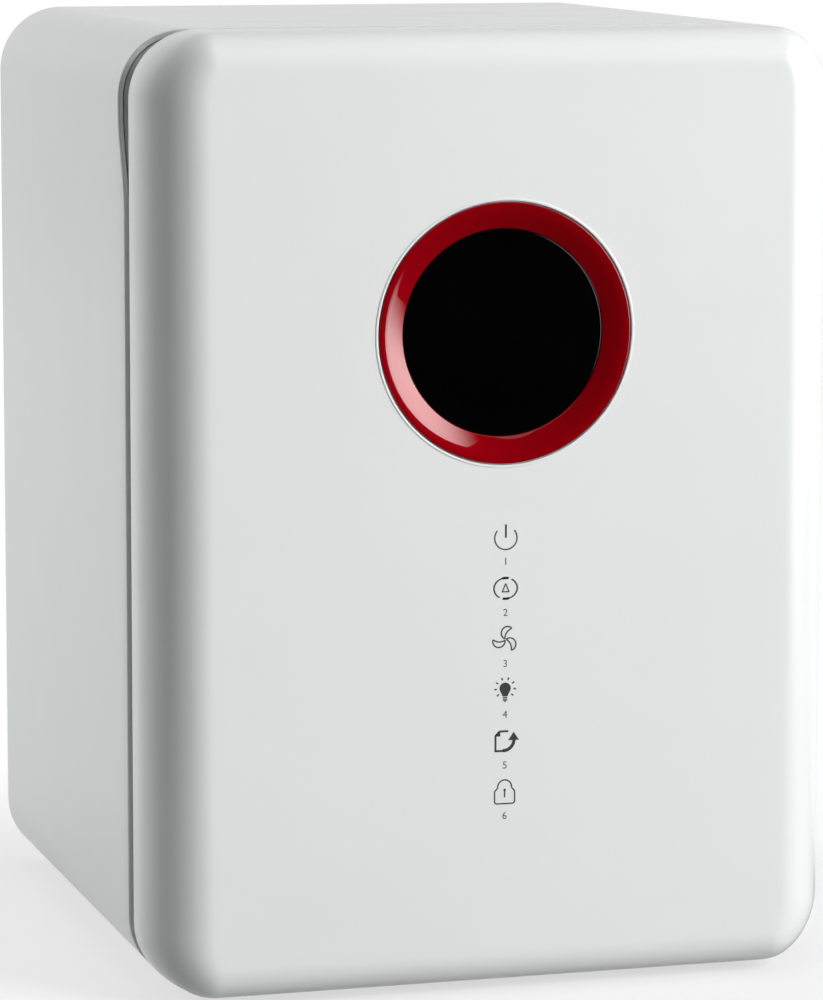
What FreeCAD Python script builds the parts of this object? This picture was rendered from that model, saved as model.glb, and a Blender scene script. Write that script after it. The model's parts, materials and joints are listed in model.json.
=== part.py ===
"""Countertop dish sterilizer cabinet: a glossy moulded casing around a stainless chamber with two wire
racks, ultraviolet lamps, a warm-air fan, and a thick hinged door with a round window.

Row frame, millimetres: +X right and -Y towards the person who faces the door, +Z up.  The origin is on the
surface that the feet stand on, under the middle of the cabinet.
"""
import FreeCAD, Part
import math
import os
import re
import MeshPart
import Sketcher

os.makedirs("parts", exist_ok=True)
Vector = FreeCAD.Vector
doc = FreeCAD.newDocument("dish_sterilizer_cabinet")

# ---------------------------------------------------------------- driving dimensions
SIZES = {
    # casing and door as seen from outside
    "width": 314, "height": 420, "depth": 320, "foot_height": 4, "corner_radius": 30,
    "door_depth": 43, "door_gap": 8, "door_side_round": 27, "door_top_round": 16, "door_rear_slope": 1.5,
    "back_slope": 3, "shell": 2.5, "fit": 0.3,
    # screws: clearance hole, thread hole and shank; feet; panel screws from the casing's sides and ends
    "screw_way": 1.6, "screw_bore": 1.25, "screw_shank": 1.5, "small_shank": 1.2,
    "foot_radius": 10, "foot_inset": 34, "foot_front": -78, "foot_rear": 122, "foot_post": 5, "foot_rise": 6,
    "panel_screw_side": 14, "panel_screw_end": 44,
    # finger scoop in the front edge of the casing, upper left
    "scoop_depth": 10.5, "scoop_width": 11, "scoop_low": 345, "scoop_full": 388, "scoop_run": 24,
    # chamber
    "chamber_half": 121, "chamber_low": 49, "chamber_top": 377, "chamber_back": 92,
    "chamber_corner": 13, "sheet_metal": 1, "mouth_flange": 7,
    # window, measured from the floor and from its own middle
    "window_height": 293.5, "ring_radius": 57.3, "glass_radius": 46, "window_sink": 5.4,
    "glass_thick": 3, "retainer_screw_circle": 66, "seal_thick": 0.8, "retainer_thick": 2, "flange_reach": 3.7,
    # hinges: one steel pin axis in the gap at the right edge
    "hinge_x": 154, "knuckle_radius": 2.5, "pin_radius": 1.25, "hinge_length": 40, "hinge_low": 64,
    "hinge_high": 324, "leaf_thick": 1.2, "leaf_width": 22, "hinge_turn_room": 0.06,
    # magnetic catches at the opening side, from the casing's side
    "catch_inset": 13, "catch_half": 6, "catch_rise": 14, "strike_half": 6.8, "strike_rise": 15.8,
    # racks, rails and tray
    "upper_rail": 226, "lower_rail": 92, "rack_half": 115.6, "rack_front": -96, "rack_rear": 58,
    "rim_wire": 2, "thin_wire": 1.25, "rack_corner": 12, "prong_height": 44, "rack_wires": 8,
    "tray_half": 107, "tray_front": -98, "tray_rear": 70, "tray_rise": 14,
    # ultraviolet lamps, 16 mm tubes 212 mm long
    "tube_radius": 7.75, "lamp_half": 106, "cap_length": 7, "top_lamp_y": -20, "top_lamp_z": 353,
    "rear_lamp_y": 79, "rear_lamp_z": 164, "lamp_pin": 1.2, "lamp_pin_reach": 6, "lamp_pin_apart": 2.5,
    "guard_half": 12.5, "guard_at": 98, "guard_sheet": 1.2, "guard_wire": 1, "guard_circle": 11.3,
    "reflector_half": 92, "reflector_flat": 15, "reflector_flare": 27,
    # axial fan of 80 mm and the warm-air duct in front of it
    "fan_size": 80, "fan_depth": 25, "fan_front": 118, "fan_z": 150, "fan_throat": 38,
    "fan_hub": 16, "fan_tip": 37, "blades": 7, "fan_hole_pitch": 71.5,
    # back panel and its removable filter cover
    "panel_thick": 2.5, "panel_inset": 10, "ledge": 8, "cover_half": 52, "cover_depth": 6, "slot": 4,
    # mains inlet and the power board's posts
    "inlet_x": -104, "inlet_z": 58, "inlet_wide": 13.3, "inlet_high": 9.7, "inlet_deep": 22,
    "board_thick": 1.6, "post_height": 8,
    # control column behind the door front
    "touch_first": 202.5, "touch_pitch": 22.4, "touch_count": 6, "control_sink": 11,
    # liner's raised field and the gasket's groove, from the chamber's mouth
    "field_inset": 9, "field_rise": 7, "groove_inner": 4, "groove_outer": 10, "groove_deep": 1,
}
sheet = doc.addObject("Spreadsheet::Sheet", "sizes")
for row, (alias, amount) in enumerate(SIZES.items(), 1):
    sheet.set(f"A{row}", alias)
    sheet.set(f"B{row}", str(amount))
    sheet.setAlias(f"B{row}", alias)
doc.recompute()

# places that several pieces share, as expressions on the sheet
DOOR_FRONT = "(-depth/2)"
DOOR_REAR = "(-depth/2 + door_depth)"
CASING_FRONT = "(-depth/2 + door_depth + door_gap)"
FRAME_FRONT = "(-depth/2 + door_depth + door_gap + 1)"
HINGE_Y = "(-depth/2 + door_depth + door_gap/2)"
TOP = "(foot_height + height)"
INSET = "(shell + fit)"
GLASS_FRONT = "(-depth/2 + window_sink)"
LINER_FRONT = "(-depth/2 + door_depth - shell)"
PANEL_FRONT = "(depth/2 - panel_thick)"
TURN = {"x": FreeCAD.Rotation(Vector(0, 1, 0), 90), "y": FreeCAD.Rotation(Vector(1, 0, 0), -90),
        "z": FreeCAD.Rotation()}
HEAD_SIDES, SHANK_SIDES, WIRE_SIDES, PANE_SIDES = 8, 6, 6, 40
nodes = {}


def size(expression):
    """The present value of an expression on the sheet."""
    return float(sheet.evalExpression(str(expression)))


def bind(thing, prop, expression):
    """Tie a property to the sheet."""
    def linked(word):
        return "sizes." + word.group(0) if word.group(0) in SIZES else word.group(0)
    thing.setExpression(prop, re.sub(r"[a-z][a-z_]*", linked, str(expression)))


# ---------------------------------------------------------------- solids and booleans
def block(name, low, high):
    """A box between two opposite corners."""
    thing = doc.addObject("Part::Box", name)
    for prop, axis, start, end in zip(("Length", "Width", "Height"), "xyz", low, high):
        bind(thing, prop, f"({end}) - ({start})")
        bind(thing, f"Placement.Base.{axis}", start)
    return thing


def rod(name, axis, start, length, radius, sides=0):
    """A bar from its start point along +X, +Y or +Z: round, or with a number of flat sides."""
    thing = doc.addObject("Part::Prism" if sides else "Part::Cylinder", name)
    thing.Placement = FreeCAD.Placement(Vector(), TURN[axis])
    if sides:
        thing.Polygon = sides
        bind(thing, "Circumradius", radius)
    else:
        bind(thing, "Radius", radius)
    bind(thing, "Height", length)
    for direction, place in zip("xyz", start):
        bind(thing, f"Placement.Base.{direction}", place)
    return thing


def fuse(name, pieces):
    thing = doc.addObject("Part::MultiFuse", name)
    thing.Shapes = pieces
    return thing


def group(name, pieces):
    """Separate solids of one kind, kept apart."""
    thing = doc.addObject("Part::Compound", name)
    thing.Links = pieces
    return thing


def cut(name, base, tools):
    thing = doc.addObject("Part::Cut", name)
    thing.Base = base
    thing.Tool = tools[0] if len(tools) == 1 else fuse(name + "_tools", tools)
    return thing


def common(name, pieces):
    thing = doc.addObject("Part::MultiCommon", name)
    thing.Shapes = pieces
    return thing


def screw(name, axis, seat, head_radius, head_height, shank_radius, reach):
    """A screw whose head seats at a point; the head stands back from it and the shank runs on.

    reach is signed: positive runs the shank along the axis and the head against it.
    """
    index = "xyz".index(axis)
    forward = reach > 0
    head_start = list(seat)
    shank_start = list(seat)
    if forward:
        head_start[index] = f"({seat[index]}) - {head_height}"
    else:
        shank_start[index] = f"({seat[index]}) - {-reach}"
    head = rod(name + "_head", axis, head_start, head_height, head_radius, HEAD_SIDES)
    shank = rod(name + "_shank", axis, shank_start, abs(reach), shank_radius, SHANK_SIDES)
    return fuse(name, [head, shank])


def publish(node, thing):
    """Name a finished sub-part; the name is also its file's."""
    thing.Label = node
    nodes[node] = thing


# ---------------------------------------------------------------- sketches and bodies
def new_body(name):
    return doc.addObject("PartDesign::Body", name)


def sketch(body, name, plane, at, middle=("0", "0")):
    """A sketch across a world axis: plane XY, XZ or YZ, at a height along that axis."""
    thing = body.newObject("Sketcher::SketchObject", name)
    origin_plane = next(p for p in body.Origin.OriginFeatures if p.Role == plane + "_Plane")
    thing.AttachmentSupport = [(origin_plane, "")]
    thing.MapMode = "FlatFace"
    bind(thing, "AttachmentOffset.Base.x", middle[0])
    bind(thing, "AttachmentOffset.Base.y", middle[1])
    bind(thing, "AttachmentOffset.Base.z", f"-({at})" if plane == "XZ" else at)
    return thing


def hold(drawing, kind, place, expression):
    """Add one dimension and tie it to the sheet."""
    index = drawing.addConstraint(Sketcher.Constraint(kind, *place, size(expression)))
    bind(drawing, f"Constraints[{index}]", expression)


def rounded_rectangle(drawing, left, low, right, high, radius):
    """Four sides joined by four equal arcs."""
    x0, z0, x1, z1, r = (size(v) for v in (left, low, right, high, radius))
    sides = [((x0 + r, z0), (x1 - r, z0)), ((x1, z0 + r), (x1, z1 - r)),
             ((x1 - r, z1), (x0 + r, z1)), ((x0, z1 - r), (x0, z0 + r))]
    centres = [(x1 - r, z0 + r), (x1 - r, z1 - r), (x0 + r, z1 - r), (x0 + r, z0 + r)]
    lines = [drawing.addGeometry(Part.LineSegment(Vector(*a), Vector(*b))) for a, b in sides]
    arcs = []
    for quarter, centre in enumerate(centres):
        start = (quarter - 1) * math.pi / 2
        round_edge = Part.Circle(Vector(*centre), Vector(0, 0, 1), r)
        arcs.append(drawing.addGeometry(Part.ArcOfCircle(round_edge, start, start + math.pi / 2)))
    for quarter in range(4):
        drawing.addConstraint(Sketcher.Constraint("Tangent", lines[quarter], 2, arcs[quarter], 1))
        following = lines[(quarter + 1) % 4]
        drawing.addConstraint(Sketcher.Constraint("Tangent", arcs[quarter], 2, following, 1))
        way = "Horizontal" if quarter % 2 == 0 else "Vertical"
        drawing.addConstraint(Sketcher.Constraint(way, lines[quarter]))
        if quarter:
            drawing.addConstraint(Sketcher.Constraint("Equal", arcs[0], arcs[quarter]))
    hold(drawing, "Radius", (arcs[0],), radius)
    hold(drawing, "DistanceX", (-1, 1, lines[3], 1), left)
    hold(drawing, "DistanceX", (-1, 1, lines[1], 1), right)
    hold(drawing, "DistanceY", (-1, 1, lines[0], 1), low)
    hold(drawing, "DistanceY", (-1, 1, lines[2], 1), high)


def outline(drawing, inset, extra_radius="0"):
    """The cabinet's front outline, drawn in by an inset."""
    rounded_rectangle(drawing, f"-width/2 + {inset}", f"foot_height + {inset}", f"width/2 - {inset}",
                      f"{TOP} - {inset}", f"corner_radius - {inset} + {extra_radius}")


def mouth(drawing, grow):
    """The chamber's opening, grown by an amount on every side."""
    rounded_rectangle(drawing, f"-chamber_half - ({grow})", f"chamber_low - ({grow})",
                      f"chamber_half + ({grow})", f"chamber_top + ({grow})",
                      f"chamber_corner + ({grow})")


def circle(drawing, across, up, radius):
    round_edge = Part.Circle(Vector(size(across), size(up)), Vector(0, 0, 1), size(radius))
    index = drawing.addGeometry(round_edge)
    hold(drawing, "Radius", (index,), radius)
    hold(drawing, "DistanceX", (-1, 1, index, 3), across)
    hold(drawing, "DistanceY", (-1, 1, index, 3), up)


def polygon(drawing, corners):
    """A closed outline of straight sides, every corner dimensioned from the sketch's origin."""
    points = [Vector(size(a), size(b)) for a, b in corners]
    lines = []
    for start, end in zip(points, points[1:] + points[:1]):
        lines.append(drawing.addGeometry(Part.LineSegment(start, end)))
    for number, line in enumerate(lines):
        following = lines[(number + 1) % len(lines)]
        drawing.addConstraint(Sketcher.Constraint("Coincident", line, 2, following, 1))
        hold(drawing, "DistanceX", (-1, 1, line, 1), corners[number][0])
        hold(drawing, "DistanceY", (-1, 1, line, 1), corners[number][1])


def hole(drawing, across, up, radius, sides=SHANK_SIDES):
    """A flat-sided hole; the small six-sided ones have the section of the shanks that go through them."""
    corners = []
    for number in range(sides):
        angle = 360 / sides * number
        corners.append((f"({across}) + {radius}*cos({angle} deg)", f"({up}) + {radius}*sin({angle} deg)"))
    polygon(drawing, corners)


def rectangle(drawing, left, low, right, high):
    polygon(drawing, [(left, low), (right, low), (right, high), (left, high)])


def plane_of(drawing):
    return drawing.AttachmentSupport[0][0].Role[:2]


def pad(body, name, drawing, length):
    """Material from the sketch towards +X, +Y or +Z."""
    feature = body.newObject("PartDesign::Pad", name)
    feature.Profile = drawing
    feature.Reversed = plane_of(drawing) == "XZ"
    bind(feature, "Length", length)
    return feature


def pocket(body, name, drawing, length):
    """A cut from the sketch towards +X, +Y or +Z."""
    doc.recompute()
    before = body.Shape.Volume
    feature = body.newObject("PartDesign::Pocket", name)
    feature.Profile = drawing
    feature.Reversed = plane_of(drawing) != "XZ"
    bind(feature, "Length", length)
    doc.recompute()
    if feature.Shape.Volume > before - 1e-3:
        raise RuntimeError(f"{name} of {body.Name} cuts nothing")
    return feature


def revolve(body, name, drawing):
    """A full turn about the sketch's upright axis."""
    feature = body.newObject("PartDesign::Revolution", name)
    feature.Profile = drawing
    feature.ReferenceAxis = (drawing, ["V_Axis"])
    feature.Angle = 360
    return feature


def row_of(body, name, feature, drawing, axis, length, count):
    """Repeat a feature along one of its sketch's axes."""
    pattern = body.newObject("PartDesign::LinearPattern", name)
    pattern.Originals = [feature]
    pattern.Direction = (drawing, [axis])
    bind(pattern, "Length", length)
    bind(pattern, "Occurrences", count)
    body.Tip = pattern
    doc.recompute()
    return pattern


def soften(body, name, kind, amount, chosen):
    """A Fillet or Chamfer on the edges of the body's last feature that a test picks."""
    doc.recompute()
    base = body.Tip
    edges = [f"Edge{n}" for n, edge in enumerate(base.Shape.Edges, 1) if chosen(edge.BoundBox)]
    feature = body.newObject("PartDesign::" + kind, name)
    feature.Base = (base, edges)
    bind(feature, "Radius" if kind == "Fillet" else "Size", amount)
    doc.recompute()
    return feature


def at_y(box, place):
    return abs(box.YMin - place) < 1e-4 and abs(box.YMax - place) < 1e-4


def turned(name, middle, profile):
    """A piece turned about an axis along Y through a point (x, z); profile corners are (radius, y)."""
    body = new_body(name)
    drawing = sketch(body, name + "_profile", "XY", middle[1], (middle[0], "0"))
    polygon(drawing, profile)
    revolve(body, name + "_turn", drawing)
    return body


# ---------------------------------------------------------------- finger scoop
def scoop_side():
    """The scoop along the left edge: a double bend from the front edge to its full depth."""
    body = new_body("scoop_side")
    drawing = sketch(body, "scoop_side_profile", "YZ", "-width/2 - 8")
    bend(drawing, size(CASING_FRONT), size("scoop_low"), size("scoop_full"), size(f"{TOP} + 6"), 1)
    pad(body, "scoop_side_pad", drawing, "scoop_width + 8")
    return body


def scoop_top():
    """The scoop round the top left corner, running out along the top edge."""
    body = new_body("scoop_top")
    drawing = sketch(body, "scoop_top_profile", "XY", "scoop_full")
    start = size("-width/2 + scoop_width - 2")
    bend(drawing, size(CASING_FRONT), start + size("scoop_run"), start, size("-width/2 - 8"), -1)
    pad(body, "scoop_top_pad", drawing, f"{TOP} + 6 - scoop_full")
    return body


def bend(drawing, edge, begin, full, end, way):
    """Outline in front of two equal tangent arcs that go from the edge to the scoop's full depth.

    way is 1 where the run is the sketch's second axis and -1 where it is the first.
    """
    deep = edge + size("scoop_depth")
    ahead = edge - 3
    run = abs(full - begin)
    radius = (run ** 2 + size("scoop_depth") ** 2) / (4 * size("scoop_depth"))
    half = math.asin(run / 2 / radius)
    sign = 1 if full > begin else -1

    def point(across, along):
        return Vector(across, along) if way == 1 else Vector(along, across)

    first_middle = point(edge + radius * (1 - math.cos(half / 2)), begin + sign * radius * math.sin(half / 2))
    centre = point((edge + deep) / 2, (begin + full) / 2)
    last_middle = point(deep - radius * (1 - math.cos(half / 2)), full - sign * radius * math.sin(half / 2))
    start = point(edge, begin)
    stop = point(deep, full)
    loop = [Part.Arc(start, first_middle, centre), Part.Arc(centre, last_middle, stop),
            Part.LineSegment(stop, point(deep, end)), Part.LineSegment(point(deep, end), point(ahead, end)),
            Part.LineSegment(point(ahead, end), point(ahead, begin)),
            Part.LineSegment(point(ahead, begin), start)]
    for piece in loop:
        drawing.addGeometry(piece)


def edge_band(name, inset_outer, inset_inner, start, length):
    """A band that follows the cabinet's outline."""
    body = new_body(name)
    drawing = sketch(body, name + "_outline", "XZ", start)
    outline(drawing, inset_outer)
    outline(drawing, inset_inner)
    pad(body, name + "_pad", drawing, length)
    return body


def scoop_tool(name):
    reach = edge_band(name + "_band", "(-6)", "scoop_width", f"{CASING_FRONT} - 3", "scoop_depth + 6")
    return common(name, [reach, fuse(name + "_ways", [scoop_side(), scoop_top()])])


# ---------------------------------------------------------------- casing, frame and back
FEET = [(across, along) for across in ("-width/2 + foot_inset", "width/2 - foot_inset")
        for along in ("foot_front", "foot_rear")]
PANEL_SCREWS = [(across, up) for across in ("-width/2 + panel_screw_side", "width/2 - panel_screw_side")
                for up in ("foot_height + panel_screw_end", f"{TOP} - panel_screw_end")]


def snap_pads(name, proud, reach):
    """Four small catches half way along the frame's sides, or the seats that they snap into."""
    start = f"{FRAME_FRONT} + 6 - {reach}"
    end = f"{FRAME_FRONT} + 9 + {reach}"
    middle = "(foot_height + height/2)"
    pads = []
    for side in (-1, 1):
        x_near, x_far = f"{side}*(width/2 - 4)", f"{side}*(width/2 - shell + {proud})"
        z_near, z_far = f"{middle} + {side}*(height/2 - 4)", f"{middle} + {side}*(height/2 - shell + {proud})"
        x_pair = (x_far, x_near) if side < 0 else (x_near, x_far)
        z_pair = (z_far, z_near) if side < 0 else (z_near, z_far)
        pads.append(block(f"{name}_x{side + 1}", (x_pair[0], start, f"{middle} - 8 - {reach}"),
                          (x_pair[1], end, f"{middle} + 8 + {reach}")))
        pads.append(block(f"{name}_z{side + 1}", (f"-8 - {reach}", start, z_pair[0]),
                          (f"8 + {reach}", end, z_pair[1])))
    return pads


def outer_casing():
    """Moulded shell open at the front, with a rim at the back that the panel screws to."""
    body = new_body("casing_body")
    front = sketch(body, "casing_outline", "XZ", CASING_FRONT)
    outline(front, "0")
    pad(body, "casing_pad", front, f"depth/2 - {CASING_FRONT}")
    rear_edge = size("depth/2")
    soften(body, "casing_back_slope", "Chamfer", "back_slope", lambda box: at_y(box, rear_edge))
    hollow = sketch(body, "casing_hollow_outline", "XZ", CASING_FRONT)
    outline(hollow, "shell")
    pocket(body, "casing_hollow", hollow, f"depth/2 - 2*shell - {CASING_FRONT}")
    recess = sketch(body, "panel_recess_outline", "XZ", PANEL_FRONT)
    outline(recess, "panel_inset", "0")
    pocket(body, "panel_recess", recess, "panel_thick")
    opening = sketch(body, "back_opening_outline", "XZ", "depth/2 - 2*shell")
    outline(opening, "(panel_inset + ledge)")
    pocket(body, "back_opening", opening, "shell")
    posts = sketch(body, "foot_post_circles", "XY", "foot_height + shell")
    holes = sketch(body, "foot_hole_circles", "XY", "foot_height")
    for across, along in FEET:
        hole(posts, across, along, "foot_post")
        hole(holes, across, along, "screw_way")
    pad(body, "foot_posts", posts, "foot_rise")
    pocket(body, "foot_holes", holes, "shell + foot_rise")
    slot = sketch(body, "floor_slot_outline", "XY", "foot_height")
    rectangle(slot, "-40", "-60", "40", "-60 + slot")
    floor_slot = pocket(body, "floor_slot", slot, "shell")
    row_of(body, "floor_slots", floor_slot, slot, "V_Axis", "77", "8")
    panel_holes = sketch(body, "panel_hole_circles", "XZ", "depth/2 - 2*shell")
    for across, up in PANEL_SCREWS:
        hole(panel_holes, across, up, "screw_way")
    pocket(body, "panel_holes", panel_holes, "shell")
    publish("outer_casing", cut("casing", body, [scoop_tool("casing_scoop")] + snap_pads("seat", 1.3, 0.2)))


def front_frame():
    """Grey ring that fills the space between casing and chamber, with skirts that stiffen it."""
    body = new_body("frame_body")
    face = sketch(body, "frame_face", "XZ", FRAME_FRONT)
    outline(face, INSET)
    mouth(face, "0")
    pad(body, "frame_plate", face, "shell")
    skirt = sketch(body, "frame_skirt_outline", "XZ", FRAME_FRONT)
    outline(skirt, INSET)
    outline(skirt, "(2*shell + fit)")
    pad(body, "frame_skirt", skirt, "14")
    lip = sketch(body, "frame_lip_outline", "XZ", FRAME_FRONT)
    mouth(lip, "mouth_flange + 1")
    mouth(lip, "mouth_flange + 3")
    pad(body, "frame_lip", lip, "9")
    screws = sketch(body, "frame_hole_circles", "XZ", FRAME_FRONT)
    for place in HINGE_SCREWS + [(CATCH_X, up) for up in CATCH_HEIGHTS]:
        hole(screws, *place, "screw_way")
    pocket(body, "frame_holes", screws, "shell")
    backing_band = edge_band("scoop_backing_band", INSET, "(scoop_width + shell)", FRAME_FRONT,
                             "scoop_depth + shell - 1")
    corner = block("scoop_backing_reach", ("-width/2", FRAME_FRONT, "scoop_low - 4"),
                   ("-width/2 + scoop_width + scoop_run + 2", f"{FRAME_FRONT} + 14", TOP))
    backing = common("scoop_backing", [backing_band, corner])
    whole = fuse("frame_with_backing", [body, backing] + snap_pads("catch", 1.0, 0))
    publish("front_frame", cut("frame", whole, [scoop_tool("frame_scoop")]))


def back_panel():
    """Flush panel with exhaust slots, a filter opening and the mains inlet's cut-out."""
    body = new_body("back_panel_body")
    face = sketch(body, "panel_outline", "XZ", PANEL_FRONT)
    outline(face, "(panel_inset + fit)")
    pad(body, "panel_pad", face, "panel_thick")
    through = sketch(body, "panel_cuts", "XZ", PANEL_FRONT)
    rounded_rectangle(through, "-cover_half + 4", "fan_z - cover_half + 4", "cover_half - 4",
                      "fan_z + cover_half - 4", "4")
    rectangle(through, "inlet_x - inlet_wide - fit", "inlet_z - inlet_high - fit", "inlet_x + inlet_wide + fit",
              "inlet_z + inlet_high + fit")
    pocket(body, "panel_openings", through, "panel_thick")
    rim_seat = sketch(body, "inlet_rim_seat", "XZ", "depth/2 - 0.7")
    rectangle(rim_seat, "inlet_x - inlet_wide - 2.4", "inlet_z - inlet_high - 2.5", "inlet_x + inlet_wide + 2.4",
              "inlet_z + inlet_high + 2.5")
    pocket(body, "inlet_rim_recess", rim_seat, "0.7")
    slot = sketch(body, "exhaust_slot_outline", "XZ", PANEL_FRONT)
    rectangle(slot, "-60", "300", "60", "300 + slot")
    exhaust = pocket(body, "exhaust_slot", slot, "panel_thick")
    row_of(body, "exhaust_slots", exhaust, slot, "V_Axis", "60", "6")
    sink = sketch(body, "panel_screw_seats", "XZ", f"{PANEL_FRONT} + 1")
    holes = sketch(body, "panel_screw_holes", "XZ", PANEL_FRONT)
    for across, up in PANEL_SCREWS:
        hole(sink, across, up, "3.8")
        hole(holes, across, up, "1.7")
    pocket(body, "panel_sinks", sink, "panel_thick - 1")
    pocket(body, "panel_screw_ways", holes, "1")
    publish("back_panel", body)
    screws = []
    for number, (across, up) in enumerate(PANEL_SCREWS):
        screws.append(screw(f"panel_screw_{number}", "y", (across, f"{PANEL_FRONT} + 1", up), 3, 1.3,
                            "screw_shank", -9))
    publish("back_panel_screws", group("panel_screw_set", screws))


def feet():
    """Four rubber feet, each held by a screw from below."""
    pads = []
    screws = []
    for number, (across, along) in enumerate(FEET):
        disc = rod(f"foot_disc_{number}", "z", (across, along, "0"), "foot_height", "foot_radius", 12)
        sink = rod(f"foot_sink_{number}", "z", (across, along, "-1"), "3", "4", SHANK_SIDES)
        way = rod(f"foot_way_{number}", "z", (across, along, "0"), "foot_height + 1", "screw_way", SHANK_SIDES)
        pads.append(cut(f"foot_{number}", disc, [sink, way]))
        screws.append(screw(f"foot_screw_{number}", "z", (across, along, "2"), 3.2, 1.4, "screw_shank", 9))
    publish("rubber_feet", group("foot_set", pads))
    publish("foot_screws", group("foot_screw_set", screws))


# ---------------------------------------------------------------- chamber
def chamber():
    """Stainless wrap with a front flange, and a perforated back plate."""
    wrap = new_body("chamber_wrap_body")
    start = f"{FRAME_FRONT} + shell"
    tube = sketch(wrap, "wrap_outline", "XZ", start)
    mouth(tube, "0")
    mouth(tube, "sheet_metal")
    pad(wrap, "wrap_tube", tube, f"chamber_back - ({start})")
    flange = sketch(wrap, "wrap_flange_outline", "XZ", start)
    mouth(flange, "0")
    mouth(flange, "mouth_flange")
    pad(wrap, "wrap_flange", flange, "sheet_metal")
    publish("chamber_wrap", wrap)

    back = new_body("chamber_back_body")
    face = sketch(back, "chamber_back_outline", "XZ", "chamber_back")
    mouth(face, "mouth_flange")
    pad(back, "chamber_back_pad", face, "sheet_metal")
    inlet = sketch(back, "warm_slot_outline", "XZ", "chamber_back")
    rectangle(inlet, "-34", "fan_z - 30", "34", "fan_z - 27")
    warm = pocket(back, "warm_slot", inlet, "sheet_metal")
    row_of(back, "warm_slots", warm, inlet, "V_Axis", "57", "8")
    outlet = sketch(back, "moist_slot_outline", "XZ", "chamber_back")
    rectangle(outlet, "-50", "312", "50", "315")
    moist = pocket(back, "moist_slot", outlet, "sheet_metal")
    row_of(back, "moist_slots", moist, outlet, "V_Axis", "32", "5")
    probe = sketch(back, "probe_way", "XZ", "chamber_back")
    rectangle(probe, "68", "fan_z + 58", "72", "fan_z + 62")
    pocket(back, "probe_hole", probe, "sheet_metal")
    publish("chamber_back", back)


def rack_rails(node, side):
    """Two pressed channels on one chamber wall, each carrying an edge of a rack."""
    channels = [rack_rail(f"{node}_{level}", side, level) for level in ("upper_rail", "lower_rail")]
    publish(node, group(node + "_pair", channels))


def rack_rail(name, side, level):
    body = new_body(name)
    drawing = sketch(body, name + "_profile", "XZ", "rack_front - 4")
    wall, web, lip = (f"{side}*{part}" for part in ("chamber_half", "(chamber_half - 1.5)", "(chamber_half - 9)"))
    polygon(drawing, [(wall, f"{level} - 5"), (lip, f"{level} - 5"), (lip, f"{level} - 3.5"),
                      (web, f"{level} - 3.5"), (web, f"{level} + 3.5"), (lip, f"{level} + 3.5"),
                      (lip, f"{level} + 5"), (wall, f"{level} + 5")])
    pad(body, name + "_pad", drawing, "rack_rear - rack_front + 8")
    return body


def wire_rack(node, level, prongs):
    """Welded rack: a bent bar rim, cross wires, two runners and, on the lower one, plate prongs."""
    height = f"({level} - 1.2)"
    rim = new_body(node + "_rim")
    drawing = sketch(rim, node + "_rim_outline", "XY", f"{height} - rim_wire")
    rounded_rectangle(drawing, "-rack_half - rim_wire", "rack_front - rim_wire", "rack_half + rim_wire",
                      "rack_rear + rim_wire", "rack_corner + rim_wire")
    rounded_rectangle(drawing, "-rack_half + rim_wire", "rack_front + rim_wire", "rack_half - rim_wire",
                      "rack_rear - rim_wire", "rack_corner - rim_wire")
    pad(rim, node + "_rim_pad", drawing, "2*rim_wire")
    pieces = [rim]
    for side in (-1, 1):
        pieces.append(rod(f"{node}_runner{side + 1}", "y",
                          (f"{side}*rack_half/2", "rack_front", f"{height} - 1.4"),
                          "rack_rear - rack_front", "thin_wire", WIRE_SIDES))
    count = int(size("rack_wires"))
    for number in range(count):
        along = f"rack_front + (rack_rear - rack_front)*({number} + 1)/({count} + 1)"
        pieces.append(rod(f"{node}_cross{number}", "x", ("-rack_half", along, height), "2*rack_half",
                          "thin_wire", WIRE_SIDES))
        if prongs and 0 < number < count - 1:
            for side in (-1, 1):
                pieces.append(rod(f"{node}_prong{number}_{side + 1}", "z", (f"{side}*rack_half/2", along, height),
                                  "prong_height", "thin_wire", WIRE_SIDES))
    publish(node, fuse(node + "_welded", pieces))


def drip_tray():
    """Shallow pressed tray on the chamber floor, with a lip to pull it by."""
    body = new_body("drip_tray_body")
    low = "chamber_low + fit"
    outer = sketch(body, "tray_outline", "XY", low)
    rounded_rectangle(outer, "-tray_half", "tray_front", "tray_half", "tray_rear", "10")
    pad(body, "tray_pad", outer, "tray_rise")
    inner = sketch(body, "tray_hollow_outline", "XY", f"{low} + sheet_metal")
    rounded_rectangle(inner, "-tray_half + 1.2", "tray_front + 1.2", "tray_half - 1.2", "tray_rear - 1.2", "8.8")
    pocket(body, "tray_hollow", inner, "tray_rise - sheet_metal")
    lip = sketch(body, "tray_lip_outline", "XY", f"{low} + tray_rise - 1.2")
    rounded_rectangle(lip, "-30", "tray_front - 5", "30", "tray_front + 3", "3")
    pad(body, "tray_lip", lip, "1.2")
    publish("drip_tray", body)


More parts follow.
